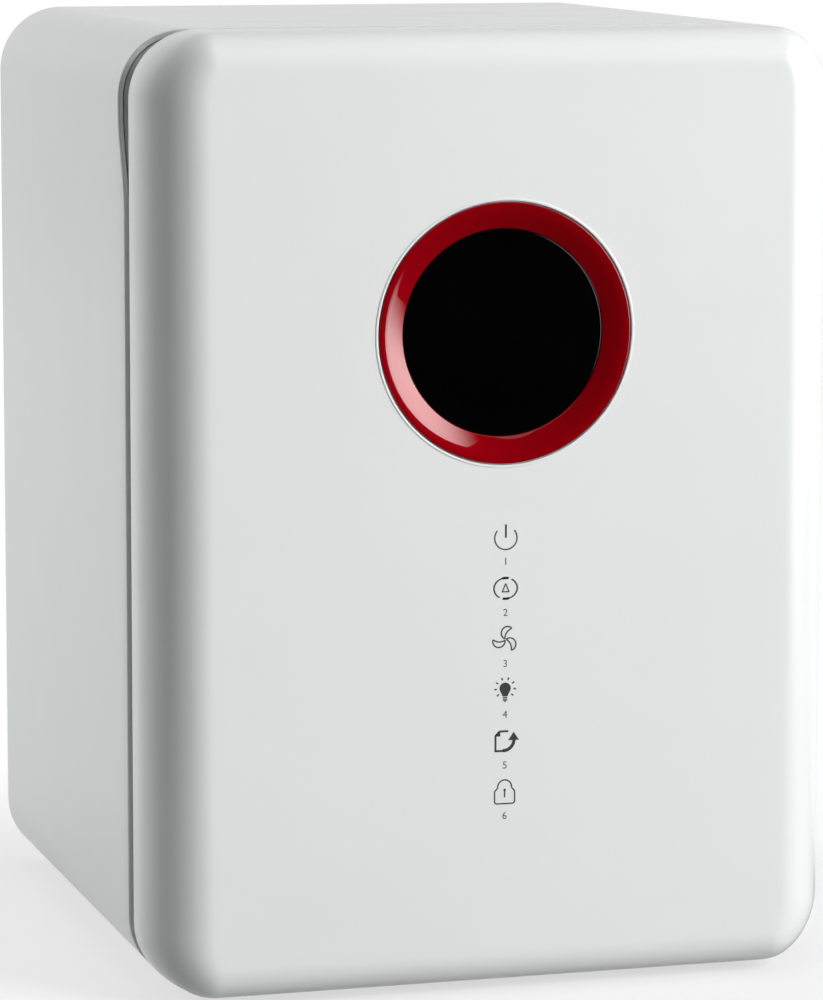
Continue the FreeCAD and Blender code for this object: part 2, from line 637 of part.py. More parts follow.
# ---------------------------------------------------------------- lamps
def lamp(prefix, along, up, guard_way):
    """One ultraviolet tube with its end caps and wire guard; returns its two sockets.

    guard_way is the unit direction (y, z) from the tube towards the dishes.  The guard's end plates stand on
    the ceiling or on the back plate, whichever is behind the tube.
    """
    inner_end = "(lamp_half - cap_length)"
    publish(prefix + "_tube", rod(prefix + "_glass", "x", (f"-{inner_end}", along, up), f"2*{inner_end}",
                                  "tube_radius"))
    caps = []
    sockets = []
    for side in (-1, 1):
        start = "-lamp_half" if side < 0 else inner_end
        pieces = [rod(f"{prefix}_cap{side + 1}", "x", (start, along, up), "cap_length", "tube_radius",
                      16)]
        ways = []
        for step in (-1, 1):
            pin_start = "-lamp_half - lamp_pin_reach" if side < 0 else "lamp_half"
            shift = f"{up} + {step}*lamp_pin_apart"
            pieces.append(rod(f"{prefix}_pin{side + 1}_{step + 1}", "x", (pin_start, along, shift),
                              "lamp_pin_reach", "lamp_pin", SHANK_SIDES))
            hole_start = "-lamp_half - lamp_pin_reach - fit" if side < 0 else "lamp_half"
            ways.append(rod(f"{prefix}_way{side + 1}_{step + 1}", "x", (hole_start, along, shift),
                            "lamp_pin_reach + fit", "lamp_pin + 0.1", SHANK_SIDES))
        caps.append(fuse(f"{prefix}_cap_fused{side + 1}", pieces))
        near, far = "(lamp_half + fit)", "chamber_half"
        low_x, high_x = (f"-{far}", f"-{near}") if side < 0 else (near, far)
        holder = block(f"{prefix}_socket{side + 1}", (low_x, f"{along} - 9", f"{up} - 10"),
                       (high_x, f"{along} + 9", f"{up} + 10"))
        sockets.append(cut(f"{prefix}_socket_cut{side + 1}", holder, ways))
    publish(prefix + "_caps", group(prefix + "_cap_set", caps))
    guard = []
    for side in (-1, 1):
        start = f"{side}*guard_at - guard_sheet/2"
        behind = (f"{along} + guard_half", "chamber_top") if guard_way[1] else ("chamber_back", f"{up} + guard_half")
        plate = block(f"{prefix}_plate{side + 1}", (start, f"{along} - guard_half", f"{up} - guard_half"),
                      (f"{start} + guard_sheet", *behind))
        way = rod(f"{prefix}_plate_way{side + 1}", "x", (f"{start} - 1", along, up), "guard_sheet + 2",
                  "tube_radius + 1.2", 12)
        guard.append(cut(f"{prefix}_plate_cut{side + 1}", plate, [way]))
    facing = math.atan2(guard_way[1], guard_way[0])
    for number, swing in enumerate((-0.9, 0, 0.9)):
        aside, ahead = round(math.cos(facing + swing), 4), round(math.sin(facing + swing), 4)
        place = ("-guard_at", f"{along} + guard_circle*({aside})", f"{up} + guard_circle*({ahead})")
        guard.append(rod(f"{prefix}_wire{number}", "x", place, "2*guard_at", "guard_wire", WIRE_SIDES))
    publish(prefix + "_guard", fuse(prefix + "_guard_welded", guard))
    return sockets


def top_reflector():
    """Folded mirror sheet over the upper lamp, fixed to the chamber's ceiling."""
    body = new_body("top_reflector_body")
    drawing = sketch(body, "reflector_profile", "YZ", "-reflector_half")
    low, under = "top_lamp_z - 2", "chamber_top - 0.9"
    flat, flare = "reflector_flat", "reflector_flare"
    polygon(drawing, [(f"top_lamp_y - {flare}", low), (f"top_lamp_y - {flat}", "chamber_top"),
                      (f"top_lamp_y + {flat}", "chamber_top"), (f"top_lamp_y + {flare}", low),
                      (f"top_lamp_y + {flare} - 1", low), (f"top_lamp_y + {flat} - 0.5", under),
                      (f"top_lamp_y - {flat} + 0.5", under), (f"top_lamp_y - {flare} + 1", low)])
    pad(body, "reflector_pad", drawing, "2*reflector_half")
    publish("top_reflector", body)


# ---------------------------------------------------------------- warm air
def blade_section(drawing, half_chord):
    """A thin pitched slat across the air's way, centred on the rotor's mid plane."""
    pitch = math.radians(52)
    rise, run = round(half_chord * math.sin(pitch), 3), round(half_chord * math.cos(pitch), 3)
    middle = "fan_front + 11"
    polygon(drawing, [(f"{middle} - {run}", f"fan_z - {rise}"), (f"{middle} - {run} + 1.6", f"fan_z - {rise}"),
                      (f"{middle} + {run} + 1.6", f"fan_z + {rise}"), (f"{middle} + {run}", f"fan_z + {rise}")])


def fan():
    """Axial fan: square housing with motor plate and struts, and a bladed rotor on its own shaft."""
    housing = new_body("fan_housing_body")
    half = "fan_size/2"
    square = sketch(housing, "fan_square", "XZ", "fan_front")
    rounded_rectangle(square, f"-{half}", f"fan_z - {half}", half, f"fan_z + {half}", "4")
    hole(square, "0", "fan_z", "fan_throat", 32)
    pad(housing, "fan_square_pad", square, "fan_depth")
    plate = sketch(housing, "motor_plate_circle", "XZ", "fan_front + fan_depth - 3")
    circle(plate, "0", "fan_z", "fan_hub + 1")
    pad(housing, "motor_plate", plate, "3")
    near, far = "fan_hub - 1", "fan_throat + 0.5"
    struts = {"right": (near, "fan_z - 2", far, "fan_z + 2"),
              "left": (f"-({far})", "fan_z - 2", f"-({near})", "fan_z + 2"),
              "upper": ("-2", f"fan_z + {near}", "2", f"fan_z + {far}"),
              "lower": ("-2", f"fan_z - ({far})", "2", f"fan_z - ({near})")}
    for where, corners in struts.items():
        strut = sketch(housing, f"{where}_strut_outline", "XZ", "fan_front + fan_depth - 3")
        rectangle(strut, *corners)
        pad(housing, f"{where}_strut", strut, "3")
    bearing = sketch(housing, "bearing_ring", "XZ", "fan_front + 6")
    hole(bearing, "0", "fan_z", "4.5")
    circle(bearing, "0", "fan_z", "1.55")
    pad(housing, "bearing_tube", bearing, "fan_depth - 9")
    holes = sketch(housing, "fan_hole_circles", "XZ", "fan_front")
    for x_side in (-1, 1):
        for z_side in (-1, 1):
            hole(holes, f"{x_side}*fan_hole_pitch/2", f"fan_z + {z_side}*fan_hole_pitch/2", "2.3")
    pocket(housing, "fan_holes", holes, "fan_depth")
    publish("fan_housing", housing)

    rotor = new_body("fan_impeller_body")
    hub = sketch(rotor, "hub_profile", "XY", "fan_z")
    polygon(hub, [("0", "fan_front + 2"), ("fan_hub", "fan_front + 2"), ("fan_hub", "fan_front + 20"),
                  ("fan_hub - 1.5", "fan_front + 20"), ("fan_hub - 1.5", "fan_front + 4"),
                  ("1.5", "fan_front + 4"), ("1.5", "fan_front + 20"), ("0", "fan_front + 20")])
    revolve(rotor, "hub_turn", hub)
    section = sketch(rotor, "blade_section", "YZ", "fan_hub - 0.8")
    blade_section(section, 9)
    blade = pad(rotor, "blade", section, "fan_tip - fan_hub + 0.3")
    doc.recompute()
    axle = sketch(rotor, "axle_mark", "XZ", "fan_front", ("0", "fan_z"))
    circle(axle, "0", "0", "1")
    ring = rotor.newObject("PartDesign::PolarPattern", "blade_ring")
    ring.Originals = [blade]
    ring.Axis = (axle, ["N_Axis"])
    ring.Angle = 360
    bind(ring, "Occurrences", "blades")
    rotor.Tip = ring
    doc.recompute()
    publish("fan_impeller", rotor)


def heater():
    """Finned ceramic heater in a duct between fan and chamber, with its thermal cut-out."""
    half = "(fan_size/2)"
    duct = new_body("air_duct_body")
    start = "chamber_back + sheet_metal"
    wall = sketch(duct, "duct_outline", "XZ", start)
    rectangle(wall, f"-{half}", f"fan_z - {half}", half, f"fan_z + {half}")
    rectangle(wall, f"-{half} + 2", f"fan_z - {half} + 2", f"{half} - 2", f"fan_z + {half} - 2")
    pad(duct, "duct_pad", wall, f"fan_front - ({start})")
    publish("air_duct", duct)

    core = new_body("ptc_heater_body")
    face = sketch(core, "heater_outline", "XZ", "chamber_back + 6")
    rectangle(face, "-34", "fan_z - 38", "34", "fan_z + 38")
    pad(core, "heater_pad", face, "14")
    gap = sketch(core, "fin_gap_outline", "XZ", "chamber_back + 6")
    rectangle(gap, "-30", "fan_z - 32", "-26", "fan_z + 32")
    fin_gap = pocket(core, "fin_gap", gap, "14")
    row_of(core, "fin_gaps", fin_gap, gap, "H_Axis", "56", "10")
    publish("ptc_heater", core)

    disc = rod("cutout_disc", "z", ("20", "chamber_back + 12", f"fan_z + {half}"), "6", "7", 16)
    tabs = [block(f"cutout_tab{n}", (f"{15 + 8 * n}", "chamber_back + 11.4", f"fan_z + {half} + 6"),
                  (f"{17 + 8 * n}", "chamber_back + 12.6", f"fan_z + {half} + 12")) for n in (0, 1)]
    publish("thermal_cutout", fuse("cutout_fused", [disc] + tabs))


# ---------------------------------------------------------------- electrics
BOARD_POSTS = [(across, along) for across in ("-106", "-14") for along in ("-44", "44")]


def electrics():
    """Power board on posts, lamp ballast, mains inlet and the probes."""
    board = new_body("power_board_body")
    face = sketch(board, "board_outline", "XY", "foot_height + shell + post_height")
    rectangle(face, "-112", "-50", "-8", "50")
    pad(board, "board_pad", face, "board_thick")
    publish("power_board", board)
    top = "foot_height + shell + post_height + board_thick"
    posts = []
    for number, (across, along) in enumerate(BOARD_POSTS):
        posts.append(rod(f"board_post_{number}", "z", (across, along, "foot_height + shell"), "post_height", "3.5",
                         SHANK_SIDES))
    publish("board_posts", group("board_post_set", posts))
    publish("board_transformer", block("transformer_block", ("-90", "-30", top), ("-62", "-4", f"{top} + 20")))
    capacitors = [rod(f"capacitor_{n}", "z", (f"{-44 + 14 * n}", "-24", top), "18", "5", 12) for n in range(3)]
    publish("board_capacitors", group("capacitor_set", capacitors))
    relays = [block(f"relay_{n}", (f"{-92 + 24 * n}", "14", top), (f"{-74 + 24 * n}", "30", f"{top} + 15"))
              for n in range(2)]
    publish("board_relays", group("relay_set", relays))

    case = block("ballast_case", ("18", "-56", "foot_height + shell"), ("58", "56", "foot_height + shell + 24"))
    flange = block("ballast_flange", ("12", "-56", "foot_height + shell"), ("64", "56", "foot_height + shell + 1.6"))
    publish("lamp_ballast", fuse("ballast_fused", [case, flange]))

    rear = "depth/2"
    rim = block("inlet_rim", ("inlet_x - inlet_wide - 2.2", f"{rear} - 0.6", "inlet_z - inlet_high - 2.3"),
                ("inlet_x + inlet_wide + 2.2", rear, "inlet_z + inlet_high + 2.3"))
    body = block("inlet_body", ("inlet_x - inlet_wide", f"{rear} - inlet_deep", "inlet_z - inlet_high"),
                 ("inlet_x + inlet_wide", rear, "inlet_z + inlet_high"))
    socket = block("inlet_hollow", ("inlet_x - inlet_wide + 1.3", f"{rear} - 16", "inlet_z - inlet_high + 1.5"),
                   ("inlet_x + inlet_wide - 1.3", f"{rear} + 1", "inlet_z + inlet_high - 1.5"))
    ways = []
    pins = []
    for number, (across, up) in enumerate(((-7, -2), (0, 2), (7, -2))):
        low = (f"inlet_x + {across - 1}", f"{rear} - inlet_deep - 4", f"inlet_z + {up - 2}")
        high = (f"inlet_x + {across + 1}", f"{rear} - 4", f"inlet_z + {up + 2}")
        ways.append(block(f"inlet_way_{number}", low, high))
        pins.append(block(f"inlet_pin_{number}", low, high))
    publish("mains_inlet", cut("inlet_cut", fuse("inlet_fused", [rim, body]), [socket] + ways))
    publish("inlet_pins", group("inlet_pin_set", pins))
    nut = rod("probe_nut", "y", ("70", "chamber_back + sheet_metal", "fan_z + 60"), "6", "5", SHANK_SIDES)
    thread = rod("probe_stem", "y", ("70", "chamber_back - 12", "fan_z + 60"), "14", "2", 12)
    publish("temperature_probe", fuse("probe_fused", [thread, nut]))
    publish("door_sensor", block("reed_case", ("-width/2 + 12", f"{FRAME_FRONT} + shell", "150"),
                                 ("-width/2 + 20", f"{FRAME_FRONT} + shell + 6", "172")))


# ---------------------------------------------------------------- filter cover
def filter_cover():
    """Snap-on louvred cover over the air intake, with the felt pad behind it."""
    cover = new_body("filter_cover_body")
    rim = sketch(cover, "cover_outline", "XZ", "depth/2 - cover_depth")
    half = "(cover_half - 4 - fit)"
    rounded_rectangle(rim, f"-{half}", f"fan_z - {half}", half, f"fan_z + {half}", "3.7")
    pad(cover, "cover_pad", rim, "cover_depth")
    hollow = sketch(cover, "cover_hollow_outline", "XZ", "depth/2 - cover_depth")
    rounded_rectangle(hollow, f"-{half} + 2", f"fan_z - {half} + 2", f"{half} - 2", f"fan_z + {half} - 2", "1.7")
    pocket(cover, "cover_hollow", hollow, "cover_depth - 2")
    louvre = sketch(cover, "louvre_outline", "XZ", "depth/2 - 2")
    rectangle(louvre, "-38", "fan_z - 36", "38", "fan_z - 36 + slot")
    slot = pocket(cover, "louvre", louvre, "2")
    row_of(cover, "louvres", slot, louvre, "V_Axis", "68", "9")
    publish("filter_cover", cover)
    inner = f"({half} - 2 - 0.8)"
    publish("filter_pad", block("filter_felt", (f"-{inner}", "depth/2 - cover_depth", f"fan_z - {inner}"),
                                (inner, "depth/2 - 2", f"fan_z + {inner}")))


# ---------------------------------------------------------------- door
HINGE_SCREWS = [(across, f"{base} + {step}") for base in ("hinge_low", "hinge_high")
                for across in ("width/2 - 20",) for step in (9, 31)]
CATCH_HEIGHTS = ("120", "300")
CATCH_X = "(-width/2 + catch_inset)"
LINER_SCREWS = [(across, up) for across in ("-width/2 + 17", "width/2 - 17") for up in ("38", "214", "390")]
BOARD_SCREWS = [(across, up) for across in ("-24", "24") for up in ("78", "214")]
RETAINER_EARS = [45, 135, 225, 315]


def ear_place(angle):
    across = f"retainer_screw_circle*cos({angle} deg)"
    up = f"window_height + retainer_screw_circle*sin({angle} deg)"
    return across, up


def door_shell():
    """Deep moulded door front: wide rounds down the sides, tighter ones along top and bottom."""
    body = new_body("door_block")
    face = sketch(body, "door_outline", "XZ", DOOR_FRONT)
    outline(face, "0")
    pad(body, "door_pad", face, "door_depth")
    front_edge, rear_edge = size(DOOR_FRONT), size(DOOR_REAR)
    soften(body, "door_front_round", "Fillet", "door_top_round", lambda box: at_y(box, front_edge))
    soften(body, "door_rear_slope", "Chamfer", "door_rear_slope", lambda box: at_y(box, rear_edge))
    plan = new_body("door_plan")
    plan_profile = sketch(plan, "door_plan_profile", "XY", "foot_height")
    rounded_rectangle(plan_profile, "-width/2", DOOR_FRONT, "width/2", f"{DOOR_REAR} + 30", "door_side_round")
    pad(plan, "door_plan_pad", plan_profile, "height")
    rounded = common("door_rounded", [body, plan])

    hollow = new_body("door_hollow")
    inside = sketch(hollow, "door_hollow_outline", "XZ", f"{DOOR_FRONT} + shell")
    outline(inside, "shell")
    pad(hollow, "door_hollow_pad", inside, "door_depth")
    front = size(f"{DOOR_FRONT} + shell")
    soften(hollow, "door_hollow_slope", "Chamfer", "17", lambda box: at_y(box, front))
    opening = rod("window_opening", "y", ("0", f"{DOOR_FRONT} - 1", "window_height"), "8", "ring_radius + 0.1")
    skin = cut("door_skin", rounded, [hollow, opening])

    posts = []
    bores = []
    for number, angle in enumerate(RETAINER_EARS):
        across, up = ear_place(angle)
        start = f"{DOOR_FRONT} + shell"
        end = f"{GLASS_FRONT} + glass_thick + seal_thick"
        posts.append(rod(f"ear_post_{number}", "y", (across, f"{start} - 0.5", up),
                         f"{end} - ({start}) + 0.5", "4", WIRE_SIDES))
        bores.append(rod(f"ear_bore_{number}", "y", (across, f"{end} - 5", up), "6", "screw_bore", SHANK_SIDES))
    for number, (across, up) in enumerate(BOARD_SCREWS):
        posts.append(rod(f"board_stud_{number}", "y", (across, f"{DOOR_FRONT} + shell - 0.5", up), "9", "3",
                         WIRE_SIDES))
        bores.append(rod(f"board_bore_{number}", "y", (across, f"{DOOR_FRONT} + 6", up), "6", "screw_bore",
                         SHANK_SIDES))
    for number, (across, up) in enumerate(LINER_SCREWS):
        posts.append(rod(f"liner_post_{number}", "y", (across, f"{DOOR_FRONT} + 7", up),
                         f"{LINER_FRONT} - ({DOOR_FRONT}) - 7", "4.5", WIRE_SIDES))
        bores.append(rod(f"liner_bore_{number}", "y", (across, f"{LINER_FRONT} - 12", up), "13", "screw_shank",
                         SHANK_SIDES))
    publish("door_shell", cut("door_shell_cut", fuse("door_shell_posts", [skin] + posts), bores))


def door_liner():
    """Grey inner cover with a raised field, the window's opening and a groove for the gasket."""
    body = new_body("door_liner_body")
    face = sketch(body, "liner_outline", "XZ", LINER_FRONT)
    outline(face, INSET)
    pad(body, "liner_pad", face, "shell")
    field = sketch(body, "field_outline", "XZ", LINER_FRONT)
    mouth(field, "-field_inset")
    pad(body, "field_pad", field, "shell + field_rise")
    rear = size(f"{DOOR_REAR} + field_rise")
    soften(body, "field_slope", "Chamfer", "3", lambda box: at_y(box, rear))
    hollow = sketch(body, "field_hollow_outline", "XZ", LINER_FRONT)
    mouth(hollow, "-field_inset - shell")
    pocket(body, "field_hollow", hollow, "field_rise")
    window = sketch(body, "liner_window_circle", "XZ", LINER_FRONT)
    circle(window, "0", "window_height", "glass_radius + 2")
    pocket(body, "liner_window", window, "shell + field_rise")
    groove = sketch(body, "groove_outline", "XZ", f"{DOOR_REAR} - groove_deep")
    mouth(groove, "groove_inner")
    mouth(groove, "groove_outer")
    pocket(body, "gasket_groove", groove, "groove_deep")
    holes = sketch(body, "liner_hole_circles", "XZ", LINER_FRONT)
    for across, up in LINER_SCREWS + HINGE_SCREWS:
        hole(holes, across, up, "screw_way")
    pocket(body, "liner_holes", holes, "shell")
    seats = sketch(body, "strike_outline", "XZ", f"{DOOR_REAR} - 1")
    for up in CATCH_HEIGHTS:
        rectangle(seats, f"{CATCH_X} - strike_half - 0.2", f"{up} - strike_rise - 0.2",
                  f"{CATCH_X} + strike_half + 0.2", f"{up} + strike_rise + 0.2")
    pocket(body, "strike_seats", seats, "1")
    publish("door_liner", body)


def window():
    """Conical ring, dark pane, seal and retainer in the front, and a clear pane in the liner."""
    front = DOOR_FRONT
    rear = f"{GLASS_FRONT} + glass_thick + seal_thick"
    bezel = turned("window_bezel_body", ("0", "window_height"), [
        ("ring_radius - 1.4", front), ("ring_radius", front), ("ring_radius", f"{front} + shell"),
        ("ring_radius + flange_reach", f"{front} + shell"), ("ring_radius + flange_reach", rear),
        ("glass_radius + 6.8", rear), ("glass_radius + 6.8", GLASS_FRONT),
        ("glass_radius", GLASS_FRONT), ("glass_radius", f"{GLASS_FRONT} - 0.9")])
    publish("window_bezel", cut("bezel_cut", bezel, [
        rod(f"ear_clear_{n}", "y", (ear_place(a)[0], f"{front} + 1", ear_place(a)[1]), "12", "4.3", WIRE_SIDES)
        for n, a in enumerate(RETAINER_EARS)]))
    publish("window_glass", rod("dark_pane", "y", ("0", GLASS_FRONT, "window_height"), "glass_thick",
                                "glass_radius + 6.6", PANE_SIDES))
    seal_start = f"{GLASS_FRONT} + glass_thick"
    outer = rod("seal_disc", "y", ("0", seal_start, "window_height"), "seal_thick", "glass_radius + 6.5", PANE_SIDES)
    opening = rod("seal_opening", "y", ("0", f"{seal_start} - 1", "window_height"), "3", "glass_radius + 1",
                  PANE_SIDES)
    publish("window_seal", cut("seal_ring", outer, [opening]))
    ring = rod("retainer_disc", "y", ("0", rear, "window_height"), "retainer_thick",
               "ring_radius + flange_reach", PANE_SIDES)
    ways = [rod("retainer_opening", "y", ("0", f"{rear} - 1", "window_height"), "4", "glass_radius + 1",
                PANE_SIDES)]
    ears = []
    screws = []
    for number, angle in enumerate(RETAINER_EARS):
        across, up = ear_place(angle)
        ears.append(rod(f"ear_{number}", "y", (across, rear, up), "retainer_thick", "6", WIRE_SIDES))
        ways.append(rod(f"ear_way_{number}", "y", (across, f"{rear} - 1", up), "4", "1.4", SHANK_SIDES))
        screws.append(screw(f"ear_screw_{number}", "y", (across, f"{rear} + retainer_thick", up), 2.4, 1.4,
                            "small_shank", -6))
    publish("window_retainer", cut("retainer_cut", fuse("retainer_fused", [ring] + ears), ways))
    publish("inner_pane", rod("clear_pane", "y", ("0", f"{LINER_FRONT} + 4.5", "window_height"), "2.5",
                              "glass_radius + 6", PANE_SIDES))
    return screws


def gasket():
    """Silicone ring on the liner that closes on the frame round the chamber's mouth."""
    body = new_body("door_gasket_body")
    base = sketch(body, "gasket_base_outline", "XZ", f"{DOOR_REAR} - groove_deep")
    mouth(base, "groove_inner")
    mouth(base, "groove_outer")
    pad(body, "gasket_base", base, "4")
    lip = sketch(body, "gasket_lip_outline", "XZ", f"{DOOR_REAR} + 2")
    mouth(lip, "groove_inner + 2")
    mouth(lip, "groove_outer - 1.6")
    pad(body, "gasket_lip", lip, f"{FRAME_FRONT} - fit - ({DOOR_REAR}) - 2")
    publish("door_gasket", body)


def controls(small_screws):
    """Circuit board behind the touch column, with a spring and a light at each key."""
    start = f"{DOOR_FRONT} + control_sink"
    body = new_body("control_board_body")
    face = sketch(body, "control_outline", "XZ", start)
    rectangle(face, "-30", "70", "30", "222")
    pad(body, "control_pad", face, "board_thick")
    holes = sketch(body, "control_hole_circles", "XZ", start)
    for across, up in BOARD_SCREWS:
        hole(holes, across, up, "screw_shank")
    pocket(body, "control_holes", holes, "board_thick")
    publish("control_board", body)
    springs = []
    lights = []
    for number in range(int(size("touch_count"))):
        up = f"touch_first - {number}*touch_pitch"
        spring = rod(f"touch_coil_{number}", "y", ("0", f"{DOOR_FRONT} + shell", up), "control_sink - shell", "4.5",
                     WIRE_SIDES)
        core = rod(f"touch_core_{number}", "y", ("0", f"{DOOR_FRONT} + shell + 1", up), "12", "3.6", WIRE_SIDES)
        springs.append(cut(f"touch_spring_{number}", spring, [core]))
        lights.append(block(f"key_light_{number}", ("8", f"{start} - 2", f"{up} - 1.5"), ("11", start, f"{up} + 1.5")))
    publish("touch_springs", group("touch_spring_set", springs))
    publish("key_lights", group("key_light_set", lights))
    for number, (across, up) in enumerate(BOARD_SCREWS):
        small_screws.append(screw(f"board_screw_{number}", "y", (across, f"{start} + board_thick", up), 2.4, 1.4,
                                  "small_shank", -6))
    publish("door_small_screws", group("small_screw_set", small_screws))
    screws = []
    for number, (across, up) in enumerate(LINER_SCREWS):
        screws.append(screw(f"liner_screw_{number}", "y", (across, DOOR_REAR, up), 3, 1.4, 1.45, -12))
    publish("liner_screws", group("liner_screw_set", screws))


def catches():
    """Magnets screwed to the frame, the door's strike plates, and the magnet that the sensor reads.

    Returns the magnets' screws, which are the hinge leaves' kind.
    """
    magnets = []
    strikes = []
    screws = []
    for number, up in enumerate(CATCH_HEIGHTS):
        front = f"{DOOR_REAR} + 0.4"
        seat = f"{front} + 1.6"
        magnet = block(f"magnet_{number}", (f"{CATCH_X} - catch_half", front, f"{up} - catch_rise"),
                       (f"{CATCH_X} + catch_half", FRAME_FRONT, f"{up} + catch_rise"))
        sink = rod(f"magnet_sink_{number}", "y", (CATCH_X, f"{front} - 1", up), "2.6", "3", HEAD_SIDES)
        way = rod(f"magnet_way_{number}", "y", (CATCH_X, front, up), "12", "screw_way", SHANK_SIDES)
        magnets.append(cut(f"magnet_cut_{number}", magnet, [sink, way]))
        screws.append(leaf_screw(f"magnet_screw_{number}", (CATCH_X, seat, up), 1))
        strikes.append(block(f"strike_{number}", (f"{CATCH_X} - strike_half", f"{DOOR_REAR} - 1",
                                                  f"{up} - strike_rise"),
                             (f"{CATCH_X} + strike_half", DOOR_REAR, f"{up} + strike_rise")))
    publish("catch_magnets", group("magnet_set", magnets))
    publish("strike_plates", group("strike_set", strikes))
    publish("sensor_magnet", rod("sensor_slug", "y", ("-width/2 + 16", f"{LINER_FRONT} - 4", "161"), "4", "4", 12))
    return screws


def leaf_screw(name, seat, way):
    """The flat-headed screw of the hinge leaves and the magnets, into the frame (1) or into the door (-1)."""
    return screw(name, "y", seat, 2.6, 1, "screw_shank", 10 * way)


def hinges(frame_screws):
    """Two lift-off hinges in the gap at the right edge: the lower knuckle holds the pin, the upper turns on it."""
    frame_leaves = []
    door_leaves = []
    pins = []
    door_screws = []
    half = "(hinge_length/2 - fit/2)"
    for number, base in enumerate(("hinge_low", "hinge_high")):
        upper = f"{base} + hinge_length - {half}"
        frame_pieces = [
            block(f"frame_leaf_{number}", ("hinge_x - leaf_width", f"{FRAME_FRONT} - leaf_thick", base),
                  ("hinge_x", FRAME_FRONT, f"{base} + hinge_length")),
            rod(f"frame_knuckle_{number}", "z", ("hinge_x", HINGE_Y, base), half, "knuckle_radius"),
            block(f"frame_roll_{number}", ("hinge_x - 2.6", f"{HINGE_Y} + 1.4", base),
                  ("hinge_x", FRAME_FRONT, f"{base} + {half}"))]
        door_pieces = [
            block(f"door_leaf_{number}", ("hinge_x - leaf_width", DOOR_REAR, base),
                  ("hinge_x", f"{DOOR_REAR} + leaf_thick", f"{base} + hinge_length")),
            rod(f"door_knuckle_{number}", "z", ("hinge_x", HINGE_Y, upper), half, "knuckle_radius"),
            block(f"door_roll_{number}", ("hinge_x - 2.6", DOOR_REAR, upper),
                  ("hinge_x", f"{HINGE_Y} - 1.4", f"{upper} + {half}"))]
        frame_ways = [rod(f"frame_bore_{number}", "z", ("hinge_x", HINGE_Y, f"{base} - 1"), "hinge_length + 2",
                          "pin_radius")]
        door_ways = [rod(f"door_bore_{number}", "z", ("hinge_x", HINGE_Y, f"{base} - 1"), "hinge_length + 2",
                         "pin_radius + hinge_turn_room")]
        for step, (across, up) in enumerate(HINGE_SCREWS[2 * number:2 * number + 2]):
            frame_ways.append(rod(f"frame_way_{number}_{step}", "y", (across, f"{FRAME_FRONT} - 4", up), "5",
                                  "screw_way", SHANK_SIDES))
            door_ways.append(rod(f"door_way_{number}_{step}", "y", (across, f"{DOOR_REAR} - 1", up), "5",
                                 "screw_way", SHANK_SIDES))
            frame_screws.append(leaf_screw(f"frame_screw_{number}_{step}",
                                           (across, f"{FRAME_FRONT} - leaf_thick", up), 1))
            door_screws.append(leaf_screw(f"door_screw_{number}_{step}",
                                          (across, f"{DOOR_REAR} + leaf_thick", up), -1))
        frame_leaves.append(cut(f"frame_leaf_cut_{number}", fuse(f"frame_leaf_fused_{number}", frame_pieces),
                                frame_ways))
        door_leaves.append(cut(f"door_leaf_cut_{number}", fuse(f"door_leaf_fused_{number}", door_pieces),
                               door_ways))
        pins.append(rod(f"pin_{number}", "z", ("hinge_x", HINGE_Y, base), "hinge_length - 1", "pin_radius"))
    publish("frame_hinge_leaves", group("frame_leaf_set", frame_leaves))
    publish("door_hinge_leaves", group("door_leaf_set", door_leaves))
    publish("hinge_pins", group("pin_set", pins))
    publish("frame_screws", group("frame_screw_set", frame_screws))
    publish("door_hinge_screws", group("door_screw_set", door_screws))


def main():
    outer_casing()
    front_frame()
    back_panel()
    feet()
    chamber()
    for side_name, side in (("left", -1), ("right", 1)):
        rack_rails(f"{side_name}_rack_rails", side)
    wire_rack("upper_rack", "upper_rail", False)
    wire_rack("lower_rack", "lower_rail", True)
    drip_tray()
    sockets = lamp("top_lamp", "top_lamp_y", "top_lamp_z", (0, -1))
    sockets += lamp("rear_lamp", "rear_lamp_y", "rear_lamp_z", (-1, 0))
    publish("lamp_sockets", group("socket_set", sockets))
    top_reflector()
    fan()
    heater()
    electrics()
    filter_cover()
    door_shell()
    door_liner()
    small_screws = window()
    gasket()
    controls(small_screws)
    hinges(catches())
    write_parts()


def write_parts():
    """Check every object, then write each sub-part to its own file."""
    doc.recompute()
    for thing in doc.Objects:
        if "Invalid" in thing.State or "Error" in thing.State:
            raise RuntimeError(f"{thing.Name} ({thing.TypeId}) failed: {thing.State}")
    facets = 0
    for node, thing in nodes.items():
        shape = thing.Shape
        if shape.isNull() or not shape.isValid() or not shape.Solids:
            raise RuntimeError(f"{node} is not a valid solid")
        count = MeshPart.meshFromShape(Shape=shape.copy(), LinearDeflection=shape.BoundBox.DiagonalLength * 2e-4,
                                       AngularDeflection=0.3, Relative=False).CountFacets
        facets += count
        print(f"{node:24s} solids {len(shape.Solids):3d}  faces {len(shape.Faces):4d}  facets {count:5d}")
        shape.exportStep(f"parts/{node}.step")
    print(f"{len(nodes)} sub-parts, {facets} facets")


main()
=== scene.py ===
"""The looks of a countertop dish sterilizer cabinet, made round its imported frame."""

import json
import math

import bmesh
import bpy
from bpy.props import FloatProperty, FloatVectorProperty, IntProperty, PointerProperty
from mathutils import Matrix, Vector


